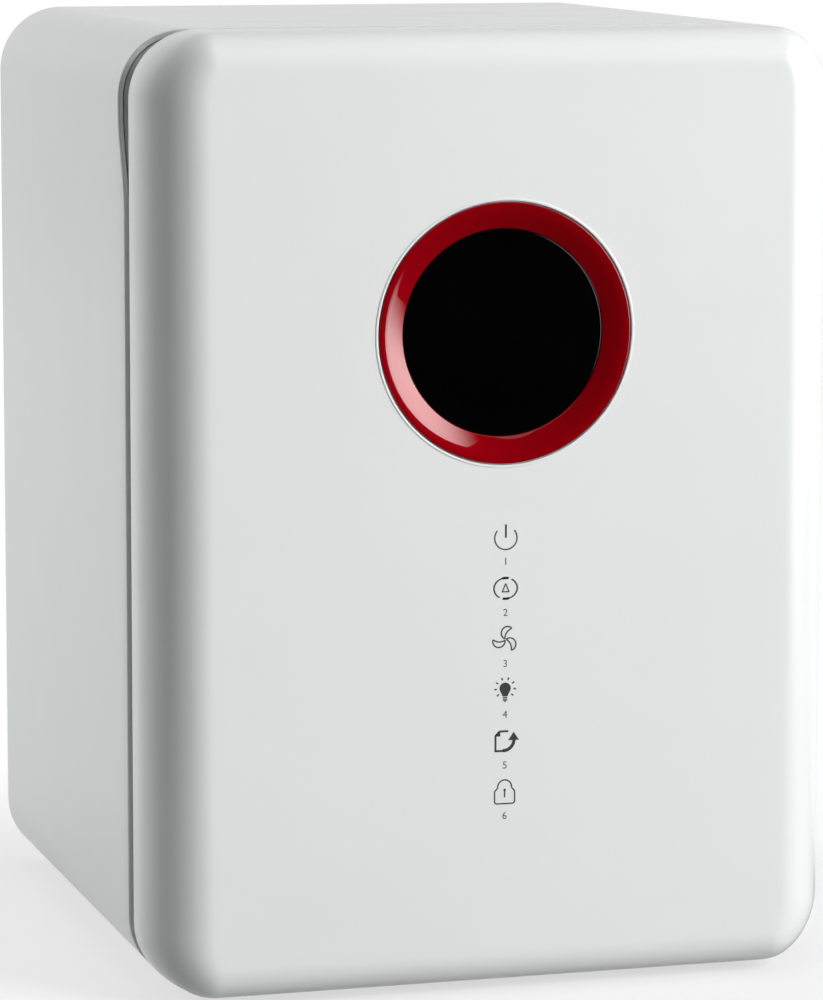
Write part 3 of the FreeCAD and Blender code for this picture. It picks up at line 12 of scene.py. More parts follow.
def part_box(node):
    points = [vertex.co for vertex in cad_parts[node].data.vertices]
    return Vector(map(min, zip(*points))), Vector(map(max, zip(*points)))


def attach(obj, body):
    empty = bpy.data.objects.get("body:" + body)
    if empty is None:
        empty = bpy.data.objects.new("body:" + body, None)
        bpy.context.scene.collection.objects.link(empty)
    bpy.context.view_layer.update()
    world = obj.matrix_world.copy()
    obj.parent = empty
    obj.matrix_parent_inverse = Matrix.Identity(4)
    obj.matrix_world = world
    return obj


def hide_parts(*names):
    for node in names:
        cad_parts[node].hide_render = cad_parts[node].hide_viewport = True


bl_info = {
    "name": "Dish sterilizer cabinet",
    "version": (1, 0, 0),
    "blender": (4, 5, 0),
    "location": "3D View > Sidebar > Cabinet",
    "description": "Builds the visible pieces, finishes and studio of a dish sterilizer cabinet",
    "category": "Add Mesh",
}

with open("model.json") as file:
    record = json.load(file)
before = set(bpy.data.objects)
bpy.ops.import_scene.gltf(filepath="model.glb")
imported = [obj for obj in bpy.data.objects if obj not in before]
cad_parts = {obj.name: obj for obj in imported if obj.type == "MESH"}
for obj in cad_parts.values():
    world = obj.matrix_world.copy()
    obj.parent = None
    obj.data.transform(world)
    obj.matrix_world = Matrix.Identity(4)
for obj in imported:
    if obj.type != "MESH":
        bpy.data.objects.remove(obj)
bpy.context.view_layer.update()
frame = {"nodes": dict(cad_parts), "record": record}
MM = 0.001
QUARTER = math.pi / 2
FORWARDS = Vector((0, -1, 0))
FACE_BACK = 0.45 * MM  # the door's skin stands back this far, so that the lip round its window can stand out
MERGE = 0.000002  # points nearer than this are one
PLAIN = {
    "gloss_white": (0.80, 0.815, 0.812), "grey_plastic": (0.50, 0.51, 0.515),
    "white_plastic": (0.78, 0.785, 0.77), "dark_plastic": (0.030, 0.031, 0.034),
    "red_gloss": (0.27, 0.0, 0.004), "ink": (0.028, 0.032, 0.036),
}


# ---------------------------------------------------------------- what a user would change
def length(name, description, value):
    return FloatProperty(name=name, description=description, default=value * MM, unit="LENGTH", precision=4)


def colour(name, description, slot):
    return FloatVectorProperty(name=name, description=description, default=PLAIN[slot], size=3,
                               subtype="COLOR", min=0, max=1)


class CabinetSizes(bpy.types.PropertyGroup):
    """Roundings, walls and printed marks."""

    corner: length("Corner", "Radius of the cabinet's four long corners", 30)
    side_round: length("Side round", "Rounding down the door's two sides", 27)
    top_round: length("Top round", "Rounding along the door's top and bottom", 16)
    shell: length("Wall", "Thickness of the moulded shells", 2.5)
    scoop_depth: length("Scoop depth", "How far the finger scoop cuts back the casing's edge", 10.5)
    scoop_low: length("Scoop start", "Height at which the scoop starts to bend", 345)
    scoop_full: length("Scoop full", "Height at which the scoop has its full depth", 388)
    scoop_run: length("Scoop run-out", "Length over which the scoop ends along the top", 24)
    stroke: length("Printed stroke", "Width of the printed symbols' lines", 0.62)
    key_first: length("First key", "Height of the top key's symbol", 204.4)
    key_pitch: length("Key pitch", "Distance from one key to the next", 22.6)
    keys: IntProperty(name="Keys", description="Number of touch keys", default=6, min=1, max=6)


class CabinetColours(bpy.types.PropertyGroup):
    """Colours of the moulded and printed finishes."""

    gloss_white: colour("Shells", "Glossy white of casing and door", "gloss_white")
    grey_plastic: colour("Frame", "Light grey of the frame and the door's liner", "grey_plastic")
    white_plastic: colour("Back", "Matt white of panel and covers", "white_plastic")
    dark_plastic: colour("Dark parts", "Black of fan, inlet and retainer", "dark_plastic")
    red_gloss: colour("Ring", "Red lacquer of the window's ring", "red_gloss")
    ink: colour("Print", "Dark grey of the printed symbols", "ink")


# ---------------------------------------------------------------- shader maths
class Value:
    """One socket of a node tree, on which Python's operators work."""

    def __init__(self, tree, socket):
        self.tree = tree
        self.socket = socket

    def maths(self, operation, *values):
        return self.tree.add("ShaderNodeMath", {"operation": operation}, dict(enumerate(values)))

    def __add__(self, other):
        return self.maths("ADD", self, other)

    def __radd__(self, other):
        return self.maths("ADD", other, self)

    def __sub__(self, other):
        return self.maths("SUBTRACT", self, other)

    def __rsub__(self, other):
        return self.maths("SUBTRACT", other, self)

    def __mul__(self, other):
        return self.maths("MULTIPLY", self, other)

    def __rmul__(self, other):
        return self.maths("MULTIPLY", other, self)

    def larger(self, other):
        return self.maths("MAXIMUM", self, other)

    def spread(self, low, high, start=0.0, end=1.0):
        """This value's range from low to high, moved smoothly onto start to end."""
        sockets = {"Value": self, "From Min": low, "From Max": high, "To Min": start, "To Max": end}
        return self.tree.add("ShaderNodeMapRange", {"interpolation_type": "SMOOTHSTEP"}, sockets)


class Tree:
    """A node tree that is filled by Python expressions."""

    def __init__(self, nodes_of):
        nodes_of.use_nodes = True
        self.nodes = nodes_of.node_tree.nodes
        self.links = nodes_of.node_tree.links

    def put(self, socket, value):
        if isinstance(value, Value):
            self.links.new(value.socket, socket)
        elif value is not None:
            socket.default_value = value

    def add(self, kind, settings, sockets, output=0):
        """A node of a kind: its settings are set first, then its sockets by name or number."""
        node = self.nodes.new(kind)
        for name, value in settings.items():
            setattr(node, name, value)
        for name, value in sockets.items():
            self.put(node.inputs[name], value)
        return Value(self, node.outputs[output])

    def seen(self):
        """1 for what the camera sees, itself or by way of a reflection or glass."""
        camera, glossy, through = (self.add("ShaderNodeLightPath", {}, {}, f"Is {kind} Ray")
                                   for kind in ("Camera", "Glossy", "Transmission"))
        return camera.larger(glossy * 0.75).larger(through)

    def place(self):
        return self.add("ShaderNodeTexCoord", {}, {}, "Object")

    def noise(self, scale, detail=2.0, where=None):
        """Noise of a scale over Object coordinates, or over others if they are given."""
        sockets = {"Vector": where or self.place(), "Scale": scale, "Detail": detail}
        return self.add("ShaderNodeTexNoise", {}, sockets)

    def vector(self, operation, *values, output="Vector"):
        """Vector Math on values or vectors."""
        return self.add("ShaderNodeVectorMath", {"operation": operation}, dict(enumerate(values)), output)

    def tint(self, share, first, second):
        """A colour between two colours."""
        return self.add("ShaderNodeMix", {"data_type": "RGBA"}, {0: share, 6: first, 7: second}, 2)


def whole(tint, dark=1.0):
    """A colour with its alpha, made darker or lighter by a factor."""
    return (*(channel * dark for channel in tuple(tint)[:3]), 1.0)


class Finish(Tree):
    """A material round one Principled surface."""

    def __init__(self, name, sockets):
        self.material = bpy.data.materials.new(f"{name}_finish")
        super().__init__(self.material)
        self.surface = self.nodes["Principled BSDF"]
        for socket, value in sockets.items():
            self.vary(socket, value)

    def vary(self, socket, value):
        self.put(self.surface.inputs[socket], value)

    def relief(self, height, depth):
        """Raise and lower the surface by a height from 0 to 1 times a depth in millimetres."""
        sockets = {"Height": height, "Distance": depth * MM, "Strength": 1.0}
        self.vary("Normal", self.add("ShaderNodeBump", {}, sockets))


# ---------------------------------------------------------------- finishes
def moulded(name, tint, rough, grain, depth=0.03, coat=0.0, shine=0.35):
    """Moulded plastic: fine grain of a depth in mm, and a colour and gloss that are never quite even."""
    finish = Finish(name, {"IOR": 1.5, "Specular IOR Level": shine,
                           "Coat Weight": coat, "Coat Roughness": 0.04})
    cloud = finish.noise(9.0, 3.0)
    finish.vary("Base Color", finish.tint(cloud, whole(tint, 0.975), whole(tint, 1.02)))
    fine = finish.noise(grain)
    even = cloud.spread(0.3, 0.7, rough * 0.9, rough * 1.15)
    finish.vary("Roughness", even + (fine - 0.5) * (rough * 0.1))
    finish.relief(fine, depth)
    return finish.material


def lacquer(name, tint):
    """Deep lacquer over a metallic ground."""
    finish = Finish(name, {"Metallic": 0.1, "Roughness": 0.35, "Specular IOR Level": 0.0,
                           "Coat Weight": 1.0, "Coat Roughness": 0.03, "Coat IOR": 1.6})
    flake = finish.noise(5200.0, 1.0).spread(0.45, 0.75)
    finish.vary("Base Color", finish.tint(flake, whole(tint, 0.92), whole(tint, 1.15)))
    return finish.material


def screen_print(name, tint):
    """Printed ink: matt, a little uneven."""
    finish = Finish(name, {"Roughness": 0.5})
    grain = finish.noise(3000.0)
    finish.vary("Base Color", finish.tint(grain, whole(tint, 0.85), whole(tint, 1.2)))
    return finish.material


def black_glass(name):
    """Clear pane, printed black on its back."""
    finish = Finish(name, {"IOR": 1.5, "Specular IOR Level": 0.5})
    smear = finish.noise(28.0, 4.0)
    darkest, lightest = (0.0004, 0.0004, 0.0005, 1), (0.001, 0.001, 0.0012, 1)
    finish.vary("Base Color", finish.tint(smear, darkest, lightest))
    finish.vary("Roughness", smear.spread(0.35, 0.75, 0.02, 0.06))
    return finish.material


def pane(name, tint, rough):
    """Clear glass that light goes through."""
    finish = Finish(name, {"IOR": 1.47, "Transmission Weight": 1.0})
    smear = finish.noise(30.0, 3.0)
    finish.vary("Roughness", smear.spread(0.4, 0.8, rough, rough + 0.05))
    finish.vary("Base Color", finish.tint(smear, whole(tint, 0.98), whole(tint)))
    return finish.material


def brushed(name, tint, rough, along, streak=1.0):
    """Sheet metal with a grain that runs one way."""
    finish = Finish(name, {"Metallic": 1.0})
    scale = [22.0 if axis == along else 2600.0 for axis in "xyz"]
    stretched = finish.add("ShaderNodeMapping", {}, {"Vector": finish.place(), "Scale": scale})
    streaks = finish.noise(1.0, where=stretched)
    cloud = finish.noise(14.0)
    finish.vary("Base Color", finish.tint(cloud, whole(tint, 0.93), whole(tint, 1.03)))
    finish.vary("Roughness", rough + (streaks - 0.5) * (0.22 * streak) + (cloud - 0.5) * 0.06)
    finish.relief(streaks, 0.012 * streak)
    return finish.material


def polished(name, dull, bright, scale, smooth, rough):
    """Polished or plated metal with faint marks, duller where it has been handled."""
    finish = Finish(name, {"Metallic": 1.0})
    cloud = finish.noise(scale, 3.0)
    finish.vary("Base Color", finish.tint(cloud, whole(dull), whole(bright)))
    finish.vary("Roughness", cloud.spread(0.3, 0.7, smooth, rough))
    return finish.material


def soft(name, tint, rough, grain):
    """Moulded rubber or silicone: dull, with a fine bloom."""
    finish = Finish(name, {"Sheen Weight": 0.15, "Sheen Roughness": 0.5})
    bloom = finish.noise(40.0, 4.0)
    finish.vary("Base Color", finish.tint(bloom, whole(tint, 0.88), whole(tint, 1.1)))
    finish.vary("Roughness", bloom.spread(0.3, 0.7, rough - 0.05, rough + 0.08))
    finish.relief(finish.noise(grain), 0.04)
    return finish.material


def board_green(name):
    """Solder mask over copper tracks that run in two directions."""
    finish = Finish(name, {"Specular IOR Level": 0.5})
    tracks = finish.add("ShaderNodeTexVoronoi", {"distance": "MANHATTAN", "feature": "DISTANCE_TO_EDGE"},
                        {"Vector": finish.place(), "Scale": 260.0})
    copper = 1 - tracks.spread(0.02, 0.06)
    finish.vary("Base Color", finish.tint(copper, (0.010, 0.105, 0.045, 1), (0.030, 0.21, 0.085, 1)))
    finish.vary("Roughness", copper.spread(0, 1, 0.32, 0.24))
    finish.relief(copper, 0.03)
    return finish.material


def light_lens(name):
    """Diffusing lens over a key's light."""
    finish = Finish(name, {"Subsurface Weight": 0.2, "Subsurface Scale": 0.002, "Roughness": 0.35})
    cloud = finish.noise(500.0)
    finish.vary("Base Color", finish.tint(cloud, (0.72, 0.77, 0.80, 1), (0.82, 0.86, 0.88, 1)))
    return finish.material


def filter_felt(name):
    """Coarse needled felt, its grey darker where the relief sinks: painted shade in its hollows."""
    finish = Finish(name, {"Sheen Weight": 0.3, "Roughness": 0.95})
    fibres = finish.noise(700.0, 6.0)
    # low fibres are drawn darker than high ones: painted shade in the hollows of the relief
    depth = fibres.spread(0.3, 0.7)
    finish.vary("Base Color", finish.tint(depth, (0.16, 0.165, 0.18, 1), (0.42, 0.43, 0.45, 1)))
    finish.relief(fibres, 0.6)
    return finish.material


def magnet_grey(name):
    """Nickel over sintered magnet, with small chips of dark."""
    finish = Finish(name, {"Metallic": 0.8})
    chips = finish.noise(260.0, 5.0)
    worn = chips.spread(0.5, 0.62)
    finish.vary("Base Color", finish.tint(worn, (0.30, 0.30, 0.31, 1), (0.42, 0.42, 0.43, 1)))
    finish.vary("Roughness", chips.spread(0.35, 0.65, 0.3, 0.45))
    return finish.material


# what makes each finish, and from which values; those in PLAIN take the user's colour first
FINISHES = {
    "gloss_white": (moulded, 0.2, 420.0, 0.004, 0.08, 0.16), "grey_plastic": (moulded, 0.42, 2600.0),
    "white_plastic": (moulded, 0.45, 2200.0), "dark_plastic": (moulded, 0.40, 2200.0),
    "red_gloss": (lacquer,), "ink": (screen_print,), "black_glass": (black_glass,),
    "clear_glass": (pane, (0.90, 0.95, 0.94), 0.0), "lamp_glass": (pane, (0.93, 0.95, 0.99), 0.02),
    "stainless": (brushed, (0.62, 0.62, 0.61), 0.30, "x"),
    "zinc_steel": (brushed, (0.60, 0.61, 0.62), 0.34, "z", 0.4),
    "aluminium": (brushed, (0.74, 0.75, 0.76), 0.32, "x", 0.6),
    "mirror_sheet": (brushed, (0.88, 0.88, 0.89), 0.07, "x", 0.12),
    "bright_wire": (polished, (0.66, 0.66, 0.66), (0.76, 0.76, 0.75), 60.0, 0.10, 0.20),
    "brass": (polished, (0.62, 0.45, 0.18), (0.78, 0.62, 0.32), 90.0, 0.2, 0.36),
    "silicone": (soft, (0.44, 0.45, 0.46), 0.48, 900.0),
    "black_rubber": (soft, (0.022, 0.022, 0.023), 0.62, 1400.0), "board_green": (board_green,),
    "light_lens": (light_lens,), "filter_felt": (filter_felt,), "magnet_grey": (magnet_grey,),
}


def finish_of(name):
    """The material of that finish, made the first time that it is asked for."""
    found = bpy.data.materials.get(f"{name}_finish")
    if found:
        return found
    make, *values = FINISHES[name]
    if name in PLAIN:
        values.insert(0, getattr(bpy.context.scene.cabinet_colours, name))
    return make(name, *values)


# ---------------------------------------------------------------- mesh tools
def add_piece(name, bm, body, finish, *nodes, slot=None, crease=35.0):
    """Turn a bmesh into a finished piece that rides on a body and stands for CAD nodes.

    Its edges look sharp where they turn by more than the crease, in degrees."""
    bmesh.ops.remove_doubles(bm, verts=bm.verts, dist=MERGE)
    bmesh.ops.recalc_face_normals(bm, faces=bm.faces)
    for face in bm.faces:
        face.smooth = True
    for edge in bm.edges:
        edge.smooth = len(edge.link_faces) == 2 and edge.calc_face_angle(0) < math.radians(crease)
    mesh = bpy.data.meshes.new(name)
    bm.to_mesh(mesh)
    bm.free()
    piece = bpy.data.objects.new(name, mesh)
    bpy.context.scene.collection.objects.link(piece)
    mesh.materials.append(finish_of(finish))
    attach(piece, body)
    if nodes:
        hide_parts(*nodes)
    return piece


def outline_of(bm, points, rounds, segments=6):
    """A closed flat outline through points, with each corner rounded by its own radius; gives its edges."""
    corners = [bm.verts.new(point) for point in points]
    bm.faces.new(corners)
    for radius in sorted({r for r in rounds if r}):
        chosen = [corner for corner, r in zip(corners, rounds) if r == radius]
        bmesh.ops.bevel(bm, geom=chosen, offset=radius, segments=segments, affect="VERTICES",
                        profile=0.5, material=-1)
    bm.faces.ensure_lookup_table()
    face = bm.faces[-1]
    edges = list(face.edges)
    bmesh.ops.delete(bm, geom=[face], context="FACES_ONLY")
    return edges


def verts_of(edges):
    return list({vert for edge in edges for vert in edge.verts})


def edges_of(verts):
    return list({edge for vert in verts for edge in vert.link_edges})


def stand(place, way):
    """A matrix that brings a shape to a place and turns its Z along a way."""
    return Matrix.Translation(place) @ Vector(way).to_track_quat("Z", "Y").to_matrix().to_4x4()


def round_opening(bm, middle, axis, radius, segments=32):
    """A circle of edges."""
    made = bmesh.ops.create_circle(bm, segments=segments, radius=radius, matrix=stand(middle, axis))
    return edges_of(made["verts"])


def draw_out(bm, edges):
    """A second row of edges, drawn out of the first; gives its edges."""
    made = bmesh.ops.extrude_edge_only(bm, edges=edges)["geom"]
    new = {item for item in made if isinstance(item, bmesh.types.BMVert)}
    return [item for item in made if isinstance(item, bmesh.types.BMEdge) and new.issuperset(item.verts)]


class Skin:
    """A rounded rectangle, drawn out ring by ring into a shell along the Y or the Z axis."""

    def __init__(self, bm, low, high, corner, segments, along="y"):
        self.bm = bm
        self.corner = corner
        self.depth = "xyz".index(along)
        self.flat = Vector([axis != self.depth for axis in range(3)])
        self.half = (high - low) / 2 * self.flat
        self.middle = (high + low) / 2 * self.flat
        other = Vector((0, 0, 1)) if along == "y" else Vector((0, 1, 0))
        points = [self.middle + (Vector((1, 0, 0)) * a + other * b) * self.half
                  for a, b in ((-1, -1), (1, -1), (1, 1), (-1, 1))]
        self.edges = outline_of(bm, points, [corner] * 4, segments)
        self.home = bm.verts.layers.float_vector.new("home")
        self.out = bm.verts.layers.float_vector.new("out")
        self.first = self.edges

    def split_side(self, side, pieces):
        """More points on one straight side, -X or +X, for a shape that varies along it."""
        long_edges = [edge for edge in self.edges
                      if all(abs(vert.co.x - side * self.half.x) < 1e-6 for vert in edge.verts)]
        bmesh.ops.subdivide_edges(self.bm, edges=long_edges, cuts=pieces - 1)
        self.edges = list(self.bm.edges)
        self.first = self.edges

    def settle(self):
        """Note each point's home and its way outwards; the rings are placed from these."""
        reach = self.half - Vector([self.corner] * 3)
        for vert in verts_of(self.edges):
            near = vert.co - self.middle
            core = Vector([max(-r, min(r, n)) for r, n in zip(reach, near)]) * self.flat
            vert[self.home] = vert.co
            vert[self.out] = (near * self.flat - core) / self.corner

    def put(self, along, inset_x, inset_other, shift=None):
        draw_in = Vector((inset_x, inset_other, inset_other))
        for vert in verts_of(self.edges):
            vert.co = (vert[self.home] - draw_in * vert[self.out]) * self.flat
            vert.co[self.depth] = along + (shift(vert[self.home]) if shift else 0.0)

    def ring(self, along, inset_x, inset_other=None, shift=None):
        """The next ring: where it lies along the depth, and how far it is drawn in."""
        self.edges = draw_out(self.bm, self.edges)
        self.put(along, inset_x, inset_x if inset_other is None else inset_other, shift)

    def join_ends(self):
        """Close the last ring onto the first."""
        bmesh.ops.bridge_loops(self.bm, edges=self.edges + self.first)

    def cap_ends(self):
        """Close the first and the last ring with flat faces."""
        bmesh.ops.edgeloop_fill(self.bm, edges=self.first)
        bmesh.ops.edgeloop_fill(self.bm, edges=self.edges)


def turn_by(degrees):
    """A turn about Z, from the front towards the right."""
    return Matrix.Rotation(math.radians(degrees), 3, "Z")


def quarter_steps(count):
    """Pairs of sine and 1 - cosine over a quarter turn, without the start."""
    for number in range(1, count + 1):
        angle = QUARTER * number / count
        yield math.sin(angle), 1 - math.cos(angle)


def turn_profile(bm, middle, axis, profile, rounds, steps):
    """Turn a closed profile of (radius, along) points about an axis through a point."""
    axis = Vector(axis)
    side = axis.orthogonal().normalized()
    points = [middle + side * radius + axis * along for radius, along in profile]
    edges = outline_of(bm, points, rounds, 5)
    on_axis = [edge for edge in edges
               if all((vert.co - middle).cross(axis).length < 1e-7 for vert in edge.verts)]
    bmesh.ops.delete(bm, geom=on_axis, context="EDGES")
    edges = [edge for edge in edges if edge.is_valid]
    bmesh.ops.spin(bm, geom=edges + verts_of(edges), cent=middle, axis=axis, angle=2 * math.pi,
                   steps=steps, use_merge=True)
    bmesh.ops.remove_doubles(bm, verts=bm.verts, dist=MERGE)


class Sweep:
    """A nib or a wire's section that is run straight and bent, as a wire bender does."""

    def __init__(self, bm, edges, at, heading):
        self.bm = bm
        self.edges = edges
        self.at = Vector(at)
        self.heading = Vector(heading)

    @classmethod
    def wire(cls, bm, radius, at, heading, sides):
        """Start a round wire."""
        return cls(bm, round_opening(bm, at, heading, radius, sides), at, heading)

    @classmethod
    def pen(cls, bm, width, at, heading, facing):
        """Start a flat stroke of a width, across its heading."""
        across = Vector(heading).cross(Vector(facing)).normalized() * (width / 2)
        ends = [bm.verts.new(Vector(at) + across), bm.verts.new(Vector(at) - across)]
        return cls(bm, [bm.edges.new(ends)], at, heading)

    def run(self, distance):
        self.edges = draw_out(self.bm, self.edges)
        bmesh.ops.translate(self.bm, verts=verts_of(self.edges), vec=self.heading * distance)
        self.at = self.at + self.heading * distance

    def bend(self, radius, axis, angle, steps):
        """Turn by an angle about an axis that stands a radius away, on the side that the turn goes to."""
        axis = Vector(axis)
        centre = self.at + axis.cross(self.heading) * radius
        made = bmesh.ops.spin(self.bm, geom=self.edges + verts_of(self.edges), cent=centre, axis=axis,
                              angle=angle, steps=steps)["geom_last"]
        self.edges = [item for item in made if isinstance(item, bmesh.types.BMEdge)]
        turn = Matrix.Rotation(angle, 3, axis)
        self.at = centre + turn @ (self.at - centre)
        self.heading = turn @ self.heading


def straight_wire(bm, start, end, radius, sides=12):
    """A straight bar between two points, with rounded ends."""
    start, end = Vector(start), Vector(end)
    way = end - start
    made = bmesh.ops.create_cone(bm, cap_ends=True, segments=sides, radius1=radius, radius2=radius,
                                 depth=way.length, matrix=stand((start + end) / 2, way))
    rims = [edge for edge in edges_of(made["verts"])
            if abs((edge.verts[0].co - edge.verts[1].co).dot(way)) < 1e-9]
    bmesh.ops.bevel(bm, geom=rims, offset=radius * 0.6, segments=3, affect="EDGES", profile=0.5,
                    material=-1)


# ---------------------------------------------------------------- the pieces
def scoop_push(sizes, half_width):
    """How far the casing's front edge goes back at a point of its outline, for the finger scoop."""
    side_band, top_start = 11 * MM, 9 * MM

    def push(home):
        from_side, above = home.x + half_width, home.z - sizes.scoop_low
        up = max(0.0, min(1.0, above / (sizes.scoop_full - sizes.scoop_low)))
        back = max(0.0, min(1.0, (top_start + sizes.scoop_run - from_side) / sizes.scoop_run))
        share = max(up if from_side < side_band else 0.0, back if home.z > sizes.scoop_full else 0.0)
        return sizes.scoop_depth * share * share * (3 - 2 * share)
    return push


class CABINET_OT_casing(bpy.types.Operator):
    """Mould the casing, with its wall, the scoop in its front edge and the seat for the back panel"""

    bl_idname = "cabinet.casing"
    bl_label = "Outer casing"
    bl_options = {"REGISTER", "UNDO"}

    def execute(self, context):
        sizes = context.scene.cabinet_sizes
        low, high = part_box("outer_casing")
        panel_low, panel_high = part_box("back_panel")
        bm = bmesh.new()
        skin = Skin(bm, low, high, sizes.corner, segments=16)
        skin.split_side(-1, pieces=90)
        skin.settle()
        push = scoop_push(sizes, high.x)
        wall = sizes.shell
        lip, mouth, rear_flat = 0.9 * MM, 14 * MM, 5 * MM
        rear_round, seat_round, panel_gap = 3 * MM, 0.6 * MM, 0.3 * MM
        seat = high.x - panel_high.x - panel_gap
        ledge = seat + 8 * MM
        front, back = low.y, high.y
        skin.put(front + mouth, wall, wall)
        skin.ring(front + lip, wall, shift=push)
        for out, up in quarter_steps(4):
            skin.ring(front + lip * (1 - out), wall - lip * up, shift=push)
        for out, up in quarter_steps(4):
            skin.ring(front + lip * up, lip * (1 - out), shift=push)
        skin.ring(front + mouth, 0)
        skin.ring(back - 2 * rear_round, 0)
        skin.ring(back - rear_round, 0)
        for out, up in quarter_steps(6):
            skin.ring(back - rear_round * (1 - out), rear_round * up)
        skin.ring(back, rear_flat)
        skin.ring(back, seat - seat_round)
        for out, up in quarter_steps(3):
            skin.ring(back - seat_round * up, seat - seat_round * (1 - out))
        skin.ring(panel_low.y, seat)
        skin.ring(panel_low.y, ledge)
        skin.ring(panel_low.y - wall, ledge)
        skin.ring(panel_low.y - wall, wall)
        skin.join_ends()
        add_piece("outer_casing_shell", bm, "cabinet", "gloss_white", "outer_casing")
        return {"FINISHED"}


class CABINET_OT_door_shell(bpy.types.Operator):
    """Mould the door: wide rounds down its sides, tighter ones at top and bottom, and the window's opening"""

    bl_idname = "cabinet.door_shell"
    bl_label = "Door shell"
    bl_options = {"REGISTER", "UNDO"}

    def side_curve(self, deep, lean):
        """A round that starts tight at the face and opens towards the side: how far back, and how far in."""
        knee = math.radians(30)
        tight, wide = 0.74 * deep, 1.22 * deep
        first, rest = min(lean, knee), max(lean, knee)
        back = tight * (1 - math.cos(first)) + wide * (math.cos(knee) - math.cos(rest))
        across = tight * math.sin(first) + wide * (math.sin(rest) - math.sin(knee))
        return back, tight * math.sin(knee) + wide * (1 - math.sin(knee)) - across

    def execute(self, context):
        sizes = context.scene.cabinet_sizes
        low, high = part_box("door_shell")
        ring_low, ring_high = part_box("window_bezel")
        centre = (ring_low + ring_high) / 2
        front = low.y + FACE_BACK
        bm = bmesh.new()
        skin = Skin(bm, low, high, sizes.corner, segments=18)
        skin.settle()
        rim = 1.5 * MM
        skin.put(high.y, rim, rim)
        for out, up in quarter_steps(5):
            skin.ring(high.y - rim * up, rim * (1 - out))
        steps, flat = 28, 1.5 * MM
        deep, tight = sizes.side_round, sizes.top_round
        skin.ring(front + self.side_curve(deep, QUARTER)[0] + flat, 0)
        for number in range(steps + 1):
            ahead, inset_x = self.side_curve(deep, QUARTER * (1 - number / steps))
            near = max(0.0, tight - ahead)
            inset_z = tight - math.sqrt(max(0.0, tight * tight - near * near))
            skin.ring(front + ahead, inset_x, inset_z)
        skin.ring(front, deep + flat, tight + flat)
        outer = skin.edges
        hole, lip, lip_height, collar = 57.45 * MM, 0.65 * MM, 0.39 * MM, 3 * MM
        middle = Vector((centre.x, front, centre.z))
        inner = round_opening(bm, middle, FORWARDS, hole + 3 * lip, segments=160)
        rings = [(hole + lip + lip * math.cos(angle), -lip_height * math.sin(angle))
                 for angle in (math.pi * number / 10 for number in range(11))]
        around = inner
        for radius, back in (*rings, (hole, collar)):
            around = draw_out(bm, around)
            for vert in verts_of(around):
                way = (vert.co - middle) * Vector((1, 0, 1))
                vert.co = middle + way.normalized() * radius + Vector((0, back, 0))
        bmesh.ops.triangle_fill(bm, use_beauty=True, edges=outer + inner)
        piece = add_piece("door_front_shell", bm, "door", "gloss_white", "door_shell")
        wall = piece.modifiers.new("wall", "SOLIDIFY")
        wall.thickness = sizes.shell
        wall.offset = -1
        return {"FINISHED"}


class CABINET_OT_window(bpy.types.Operator):
    """Turn the lacquered ring and the dark pane that it holds"""

    bl_idname = "cabinet.window"
    bl_label = "Window ring and pane"
    bl_options = {"REGISTER", "UNDO"}

    def execute(self, context):
        low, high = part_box("window_bezel")
        glass_low, glass_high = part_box("window_glass")
        middle = Vector(((low.x + high.x) / 2, low.y, (low.z + high.z) / 2))
        outer, lip, inner = 56.9 * MM, 2.8 * MM, 45.3 * MM
        pocket, edge = inner + 7.8 * MM, 1.1 * MM
        flange, step = (high.x - low.x) / 2, 2.6 * MM
        seat, depth = glass_low.y - low.y, high.y - low.y
        bm = bmesh.new()
        profile = [(outer - lip, 0), (outer, 0), (outer, step), (flange, step), (flange, depth),
                   (pocket, depth), (pocket, seat), (inner, seat), (inner, seat - edge)]
        rounds = [2.4 * MM, 0.5 * MM, 0, 0, 0, 0, 0, 0, 0.4 * MM]
        turn_profile(bm, middle, (0, 1, 0), profile, rounds, steps=160)
        add_piece("window_ring", bm, "door", "red_gloss", "window_bezel", crease=50)
        bm = bmesh.new()
        radius = (glass_high.x - glass_low.x) / 2
        thick = glass_high.y - glass_low.y
        middle = Vector((middle.x, glass_low.y, middle.z))
        raised, proud = inner - 0.15 * MM, 0.9 * MM
        profile = [(0, -proud), (raised, -proud), (raised, 0), (radius, 0), (radius, thick), (0, thick)]
        rounds = [0, 0.5 * MM, 0, 0.4 * MM, 0.4 * MM, 0]
        turn_profile(bm, middle, (0, 1, 0), profile, rounds, steps=160)
        add_piece("window_pane", bm, "door", "black_glass", "window_glass")
        return {"FINISHED"}


def add_print(name, bm):
    """Give flat printed shapes a thickness, into the door, and finish them."""
    bmesh.ops.recalc_face_normals(bm, faces=bm.faces)
    for face in bm.faces:
        if face.normal.y > 0:
            face.normal_flip()
    bmesh.ops.solidify(bm, geom=bm.faces, thickness=0.12 * MM)
    add_piece(name, bm, "door", "ink", slot="dark_plastic")


